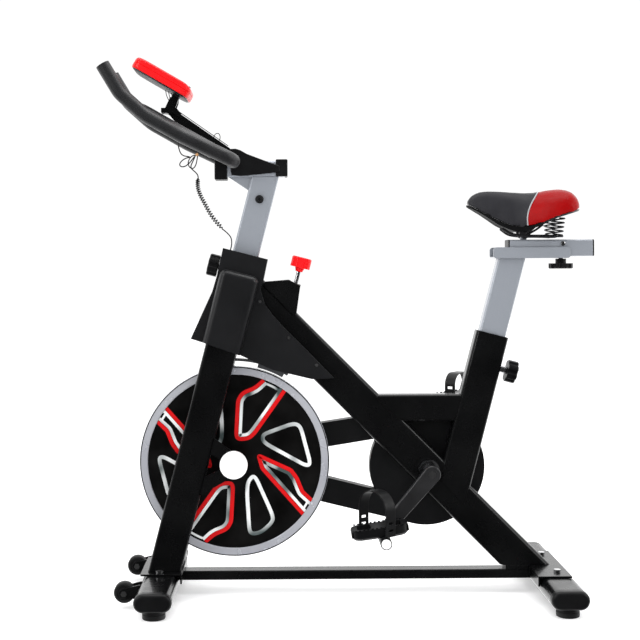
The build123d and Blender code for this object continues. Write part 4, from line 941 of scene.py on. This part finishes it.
def make_cord():
    """The speed-sensor lead in one piece: console arm, tied slack, curl, head cover."""
    route = mm(LEAD) + slack_loops() + mm(EXIT) + coil_points() + mm(TAIL[1:])
    line = curve_points(route, 3)
    bm = bmesh.new()
    add_tube(bm, line, CORD_WIDE / 2, 8)
    cord = bpy.data.objects.new("sensor_cord", finish_bmesh(bm, "sensor_cord"))
    bpy.context.scene.collection.objects.link(cord)
    cord.data.materials.append(finish("cord_jacket"))
    for polygon in cord.data.polygons:
        polygon.use_smooth = True
    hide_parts("sensor_lead", "sensor_hank", "sensor_coil")
    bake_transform(cord)
    tie = bmesh.new()
    knot = Vector((-341.0, -5.0, 998.6)) * MM
    bead = [(0.0016, -0.0035), (0.0030, -0.0030), (0.0034, 0.0), (0.0030, 0.0030), (0.0016, 0.0035)]
    add_lathe(tie, bead, knot, (0.8, 0, 0.6), 16)
    add_object("cord_tie", tie, finish("tie_orange"), "handlebar")


# ---------------------------------------------------------------- carried-over CAD nodes
def paint(mat, *nodes):
    for node in nodes:
        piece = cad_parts[node]
        piece.data.materials.clear()
        piece.data.materials.append(mat)


def paint_frame():
    black = round_edges(finish("gloss_black"), 0.002)
    paint(black, "bottom_rail", "fork_legs", "head_tube", "diagonal_tube", "seat_tube", "level_tube",
          "stabilizers", "base_brackets", "brake_housing", "console_bracket")
    paint(round_edges(finish("silver_paint"), 0.002), "handlebar_post", "seat_post", "saddle_rail")
    paint(round_edges(finish("moulded_black"), 0.0012), "stabilizer_caps", "stem_trim", "stem_cover",
          "front_pull_knob", "seat_pull_knob", "saddle_rail_caps", "saddle_knob", "crank_pulley",
          "pedal_left", "pedal_right", "pedal_strap_left", "pedal_strap_right")
    paint(round_edges(finish("shroud_plastic"), 0.002), "shroud_left", "shroud_right")
    paint(finish("guard_plastic"), "belt_guard_inner", "belt_guard_outer")
    paint(finish("rubber_black"), "drive_belt")
    paint(finish("zinc_steel"), "frame_fasteners", "crank_axles", "brake_rod", "flywheel_hub",
          "saddle_frame")
    paint(finish("crank_black"), "cranks")
    paint(finish("dark_steel"), "handlebar_tubes")
    paint(finish("chrome"), "bottom_bracket")
    paint(polished_rim(), "flywheel_rim")
    paint(finish("disc_black"), "flywheel_disc")
    paint(finish("white_gloss"), "hub_caps")
    paint(finish("red_gloss"), "resistance_knob")
    paint(finish("console_grey"), "console_button")
    paint(finish("display_glass"), "console_screen")
    paint(foam(), "foam_grips")
    paint(finish("liner_plastic"), "post_bushes")
    paint(finish("bracket_grey"), "brake_arm")


# ---------------------------------------------------------------- console
CONSOLE_CENTRE = Vector((-0.4162, 0, 1.1685))
CONSOLE_TILT = math.radians(30.3)
CONSOLE_HALF = Vector((0.073, 0.060, 0.015))
WINDOW_CENTRE = -0.012
WINDOW_HALF = Vector((0.045, 0.038, 0))
LOOP_POINTS = 96


def console_point(x, y, z):
    """Point given along, across and above the console, in the shared frame."""
    along = Vector((math.cos(CONSOLE_TILT), 0, -math.sin(CONSOLE_TILT)))
    above = Vector((math.sin(CONSOLE_TILT), 0, math.cos(CONSOLE_TILT)))
    return CONSOLE_CENTRE + along * x + Vector((0, y, 0)) + above * z


def rounded_loop(half_x, half_y, power, shift=0.0):
    """Points round a rectangle with soft corners."""
    loop = []
    for k in range(LOOP_POINTS):
        angle = 2 * math.pi * (k + 0.5) / LOOP_POINTS
        c, s = math.cos(angle), math.sin(angle)
        x = half_x * math.copysign(abs(c) ** (2 / power), c)
        y = half_y * math.copysign(abs(s) ** (2 / power), s)
        loop.append((x + shift, y))
    return loop


def console_layers(levels, power=5.5):
    """Rings of the console's outline; each level is (height, inset, drop towards the rear)."""
    rings = []
    for height, inset, drop in levels:
        ring = []
        for x, y in rounded_loop(CONSOLE_HALF.x - inset, CONSOLE_HALF.y - inset, power):
            back = max(0.0, (x - 0.048) / 0.025)
            ring.append((x, y, height - drop * back * back))
        rings.append(ring)
    return rings


def add_rings(bm, rings):
    rows = [[bm.verts.new(console_point(*point)) for point in ring] for ring in rings]
    skin(bm, rows)
    bm.faces.new(rows[0][::-1])
    bm.faces.new(rows[-1])


# Console levels from below: height above its middle, inset from the outline, drop towards the rear.
# The shell's sixth and seventh levels are the parting line's groove.
SHELL_LEVELS = [(-0.0124, 0.0030, 0.0), (-0.0121, 0.0014, 0.0), (-0.0100, 0.0003, 0.0),
                (-0.0060, 0.0, 0.0), (-0.0002, 0.0, 0.0), (0.0004, 0.0011, 0.0), (0.0010, 0.0011, 0.0),
                (0.0016, 0.0001, 0.0), (0.0060, 0.0003, 0.001), (0.0100, 0.0012, 0.0035),
                (0.0125, 0.0027, 0.0045), (0.0142, 0.0052, 0.0052)]
BASE_LEVELS = [(-0.0150, 0.0120, 0.0), (-0.0148, 0.0085, 0.0), (-0.0141, 0.0055, 0.0),
               (-0.0132, 0.0040, 0.0), (-0.0123, 0.0034, 0.0)]


def make_console():
    """Red shell with a parting line and a display recess, and its dark base."""
    top = CONSOLE_HALF.z
    shell = console_layers(SHELL_LEVELS + [(top, 0.0095, 0.0055)])
    for grow, height in ((0.0016, top), (0.0006, top - 0.0004), (0.0004, top - 0.0022)):
        window = rounded_loop(WINDOW_HALF.x + grow, WINDOW_HALF.y + grow, 9, WINDOW_CENTRE)
        shell.append([(x, y, height) for x, y in window])
    bm = bmesh.new()
    add_rings(bm, shell)
    red = add_object("console_shell", bm, finish("red_gloss"), "console")
    shade_smooth_by_angle(red, 40)
    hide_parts("console_top")
    bm = bmesh.new()
    add_rings(bm, console_layers(BASE_LEVELS))
    add_lathe(bm, [(0.008, -0.010), (0.009, -0.009), (0.009, 0.009), (0.008, 0.010)],
              (-0.393, 0, 1.12), (0, 1, 0), 28)
    lug = [(-0.402, 1.1185), (-0.3845, 1.1145), (-0.3795, 1.1385), (-0.391, 1.145)]
    add_prism(bm, lug, (-0.009, 0.009))
    base = add_object("console_back", bm, finish("console_grey"), "console")
    shade_smooth_by_angle(base, 40)
    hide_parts("console_base")
    wires = bmesh.new()
    for shift in (-4, 0, 4):
        top_end = (-405 + shift * 1.6, shift, 1143.0 - shift * 0.6)
        path = [top_end, (-403 + shift * 1.4, shift * 1.2, 1132), (-397 + shift * 0.8, shift, 1115),
                (-391 + shift * 0.3, shift, 1103)]
        add_tube(wires, smooth_path(mm(path), 6), THIN_WIRE, 8)
    add_object("console_wires", wires, finish("cord_jacket"), "console")


FLANGE_IN = 0.0102
FLANGE_OUT = 0.0122
ARM_SIDE = [(-389, 1097.5), (-262.5, 1008.5), (-262.5, 990), (-300, 1006), (-345, 1034),
            (-380, 1062), (-404, 1090), (-404, 1097.5)]
THIN_WIRE = 0.0009          # radius of the console's own wires


def make_console_arm():
    """Folded steel flanges down both edges of the console's arm."""
    bm = bmesh.new()
    for side in SIDES:
        add_prism(bm, [(x * MM, z * MM) for x, z in ARM_SIDE], (side * FLANGE_IN, side * FLANGE_OUT))
    add_object("console_arm_flanges", bm, finish("gloss_black"), "handlebar",
               False)
    clip = bmesh.new()
    loop = [(-303, -8, 1035), (-299, -8, 1044), (-292, -8, 1046), (-288, -8, 1040), (-289, -8, 1031),
            (-294, -8, 1027)]
    add_tube(clip, smooth_path(mm(loop), 6), THIN_WIRE, 8)
    lead = [(-390, -6, 1102.5), (-350, -6, 1074.5), (-303, -6, 1041.5), (-270, -6, 1018)]
    add_tube(clip, smooth_path(mm(lead), 6), THIN_WIRE, 8)
    add_object("arm_wire", clip, finish("cord_jacket"), "handlebar")


# ---------------------------------------------------------------- small turned and moulded parts
# Share of the foot's radius, and height from the floor.
FOOT_PROFILE = [(0.86, 0.0), (0.98, 0.0012), (1.0, 0.004), (0.99, 0.011), (0.93, 0.0118), (0.90, 0.0135),
                (0.80, 0.0225), (0.72, 0.0240), (0.35, 0.0243)]
# Share of a screw head's radius and of its height.
BOLT_HEIGHT = 0.004
BOLT_PROFILE = [(1.0, 0.0), (1.0, 0.25), (0.93, 0.55), (0.72, 0.85), (0.42, 1.0), (0.36, 1.0), (0.30, 0.55)]


def make_foot(node, mat):
    """Tapered rubber foot with a stepped rim and its levelling stud."""
    low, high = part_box(node)
    centre = (low + high) / 2
    wide = (high.x - low.x) / 2
    bm = bmesh.new()
    bottom = (centre.x, centre.y, low.z)
    stud = [(0.0048, 0.023), (0.005, 0.0235), (0.005, high.z - low.z)]
    add_lathe(bm, [(wide * share, height) for share, height in FOOT_PROFILE], bottom, (0, 0, 1), 48)
    add_lathe(bm, stud, bottom, (0, 0, 1), 20)
    foot = add_object(node + "_rubber", bm, mat, node)
    shade_smooth_by_angle(foot, 32)
    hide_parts(node)


def make_roller(node, mat):
    """Transport wheel: rounded tyre, recessed web and hub."""
    low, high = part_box(node)
    centre = (low + high) / 2
    wide = (high.x - low.x) / 2
    half = (high.y - low.y) / 2
    near_half = [(0.0046, -half), (0.0085, -half), (0.0090, -half + 0.003), (0.0150, -half + 0.0032),
                 (0.0162, -half + 0.0004), (wide - 0.004, -half), (wide - 0.0012, -half + 0.0015),
                 (wide, -half + 0.005)]
    profile = near_half + [(radius, -height) for radius, height in reversed(near_half)]
    bm = bmesh.new()
    add_lathe(bm, profile, centre, (0, 1, 0), 48)
    body = "wheel_left" if node.endswith("left") else "wheel_right"
    roller = add_object(node + "_tyre", bm, mat, body)
    shade_smooth_by_angle(roller, 32)
    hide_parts(node)


def make_bolt(name, place, side, radius, mat, body):
    """Domed screw head, standing on a face."""
    profile = [(radius * share, BOLT_HEIGHT * rise) for share, rise in BOLT_PROFILE]
    bm = bmesh.new()
    add_lathe(bm, profile, place, (0, side, 0), 28)
    bolt = add_object(name, bm, mat, body)
    shade_smooth_by_angle(bolt, 40)


def make_small_parts():
    foot_rubber, steel = finish("rubber_black"), finish("zinc_steel")
    for node in ("foot_front_left", "foot_front_right", "foot_rear_left", "foot_rear_right"):
        make_foot(node, foot_rubber)
    for node in ("transport_wheel_left", "transport_wheel_right"):
        make_roller(node, foot_rubber)
    rail_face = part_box("saddle_rail")[1].y
    for side in SIDES:
        name = "left" if side < 0 else "right"
        place = (0.4865, side * (rail_face - 0.0002), 0.7905)
        make_bolt(f"slider_bolt_{name}", place, side, 0.0055, steel, "saddle_slider")
        pedal_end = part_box(f"pedal_{name}")[1 if side > 0 else 0].y
        x, z = PEDAL_LEFT if side < 0 else PEDAL_RIGHT
        place = (x, pedal_end - side * 0.001, z)
        white = finish("white_gloss")
        make_bolt(f"pedal_cap_{name}", place, side, 0.0105, white, f"pedal_{name}")


PEDAL_LEFT = (0.0681, 0.1527)
PEDAL_RIGHT = (0.2889, 0.4113)
PEDAL_TILT = math.radians(8.0)


def pedal_point(side, x, y, z):
    """Point from a pedal's axle, in its own tilted directions; millimetres in, metres out."""
    axle = PEDAL_LEFT if side < 0 else PEDAL_RIGHT
    c, s = math.cos(PEDAL_TILT), math.sin(PEDAL_TILT)
    return Vector((axle[0] + (x * c - z * s) * MM, side * y * MM, axle[1] + (x * s + z * c) * MM))


def add_block(bm, corner_points):
    """Six-sided block from its eight corners: four below, then the four above them."""
    verts = [bm.verts.new(point) for point in corner_points]
    for face in ((3, 2, 1, 0), (4, 5, 6, 7), (0, 1, 5, 4), (1, 2, 6, 5), (2, 3, 7, 6), (3, 0, 4, 7)):
        bm.faces.new([verts[k] for k in face])


def pedal_block(bm, side, x, y, z):
    """Block between two values along each of the pedal's own directions."""
    square = ((0, 0), (1, 0), (1, 1), (0, 1))
    corners = [pedal_point(side, x[i], y[j], z[k]) for k in (0, 1) for i, j in square]
    add_block(bm, corners)


def make_pedal_details():
    """Grip teeth along the cages and a reflector on each end."""
    for side in SIDES:
        name = "left" if side < 0 else "right"
        teeth = bmesh.new()
        for edge in (103.2, 165.2):
            for k in range(13):
                x = -62 + 9.2 * k
                pedal_block(teeth, side, (x, x + 4.4), (edge, edge + 2.6), (30.8, 33.2))
        add_object(f"pedal_teeth_{name}", teeth, finish("moulded_black"),
                   f"pedal_{name}", False)
        lens = bmesh.new()
        for x in ((-69.6, -68.6), (53.6, 54.6)):
            pedal_block(lens, side, x, (116, 155), (14, 26))
        add_object(f"pedal_reflector_{name}", lens, reflector_lens(),
                   f"pedal_{name}", False)


def reflector_lens():
    """Moulded prismatic lens: small raised cells over a dark lens."""
    mat = surface("reflector_dark", (0.02, 0.008, 0.004), 0.25, coat=0.4, uneven=0.04, mottle=(80, 0.2))
    cells = new_node(mat, "ShaderNodeTexVoronoi")
    cells.inputs["Scale"].default_value = 420
    link(mat, object_coords(mat), cells.inputs["Vector"])
    bump(mat, cells.outputs["Distance"], 0.4, 0.0006)
    return mat


def make_head_screw():
    """Hexagon-socket screw with a washer through the handlebar's post."""
    low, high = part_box("stem_trim")
    bm = bmesh.new()
    place = steer(866, 0, 0)
    add_lathe(bm, [(0.0095, 0.0), (0.0095, 0.0012), (0.0075, 0.0014), (0.0075, 0.0044), (0.0068, 0.0052),
                   (0.0036, 0.0052), (0.0034, 0.0030)], (place.x, low.y + 0.0012, place.z), (0, -1, 0), 32)
    screw = add_object("post_screw", bm, finish("dark_steel"), "handlebar")
    shade_smooth_by_angle(screw, 35)


RIM_EDGE = [(0.0030, 0.0), (0.0028, 0.0003), (0.0010, 0.0003), (0.0008, 0.0)]


def make_rim_edges():
    """Thin black edge on both faces of the rim."""
    low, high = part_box("flywheel_rim")
    outer = (high.x - low.x) / 2
    bm = bmesh.new()
    for side in SIDES:
        face = side * high.y
        profile = [(outer - inset, height) for inset, height in RIM_EDGE]
        centre = Vector((WHEEL_CENTRE.x, face, WHEEL_CENTRE.z))
        sides = 128
        rows = []
        for radius, height in profile:
            ring = []
            for k in range(sides):
                angle = 2 * math.pi * k / sides
                across = Vector((radius * math.cos(angle), side * height, radius * math.sin(angle)))
                ring.append(bm.verts.new(centre + across))
            rows.append(ring)
        skin(bm, rows)
    add_object("rim_edges", bm, finish("disc_black"), "flywheel")


make_camera()
make_console()
make_console_arm()
make_head_screw()
make_small_parts()
make_pedal_details()
make_rim_edges()
make_cord()
make_studio()
make_floor()
paint_frame()
make_saddle()
make_flywheel_print()
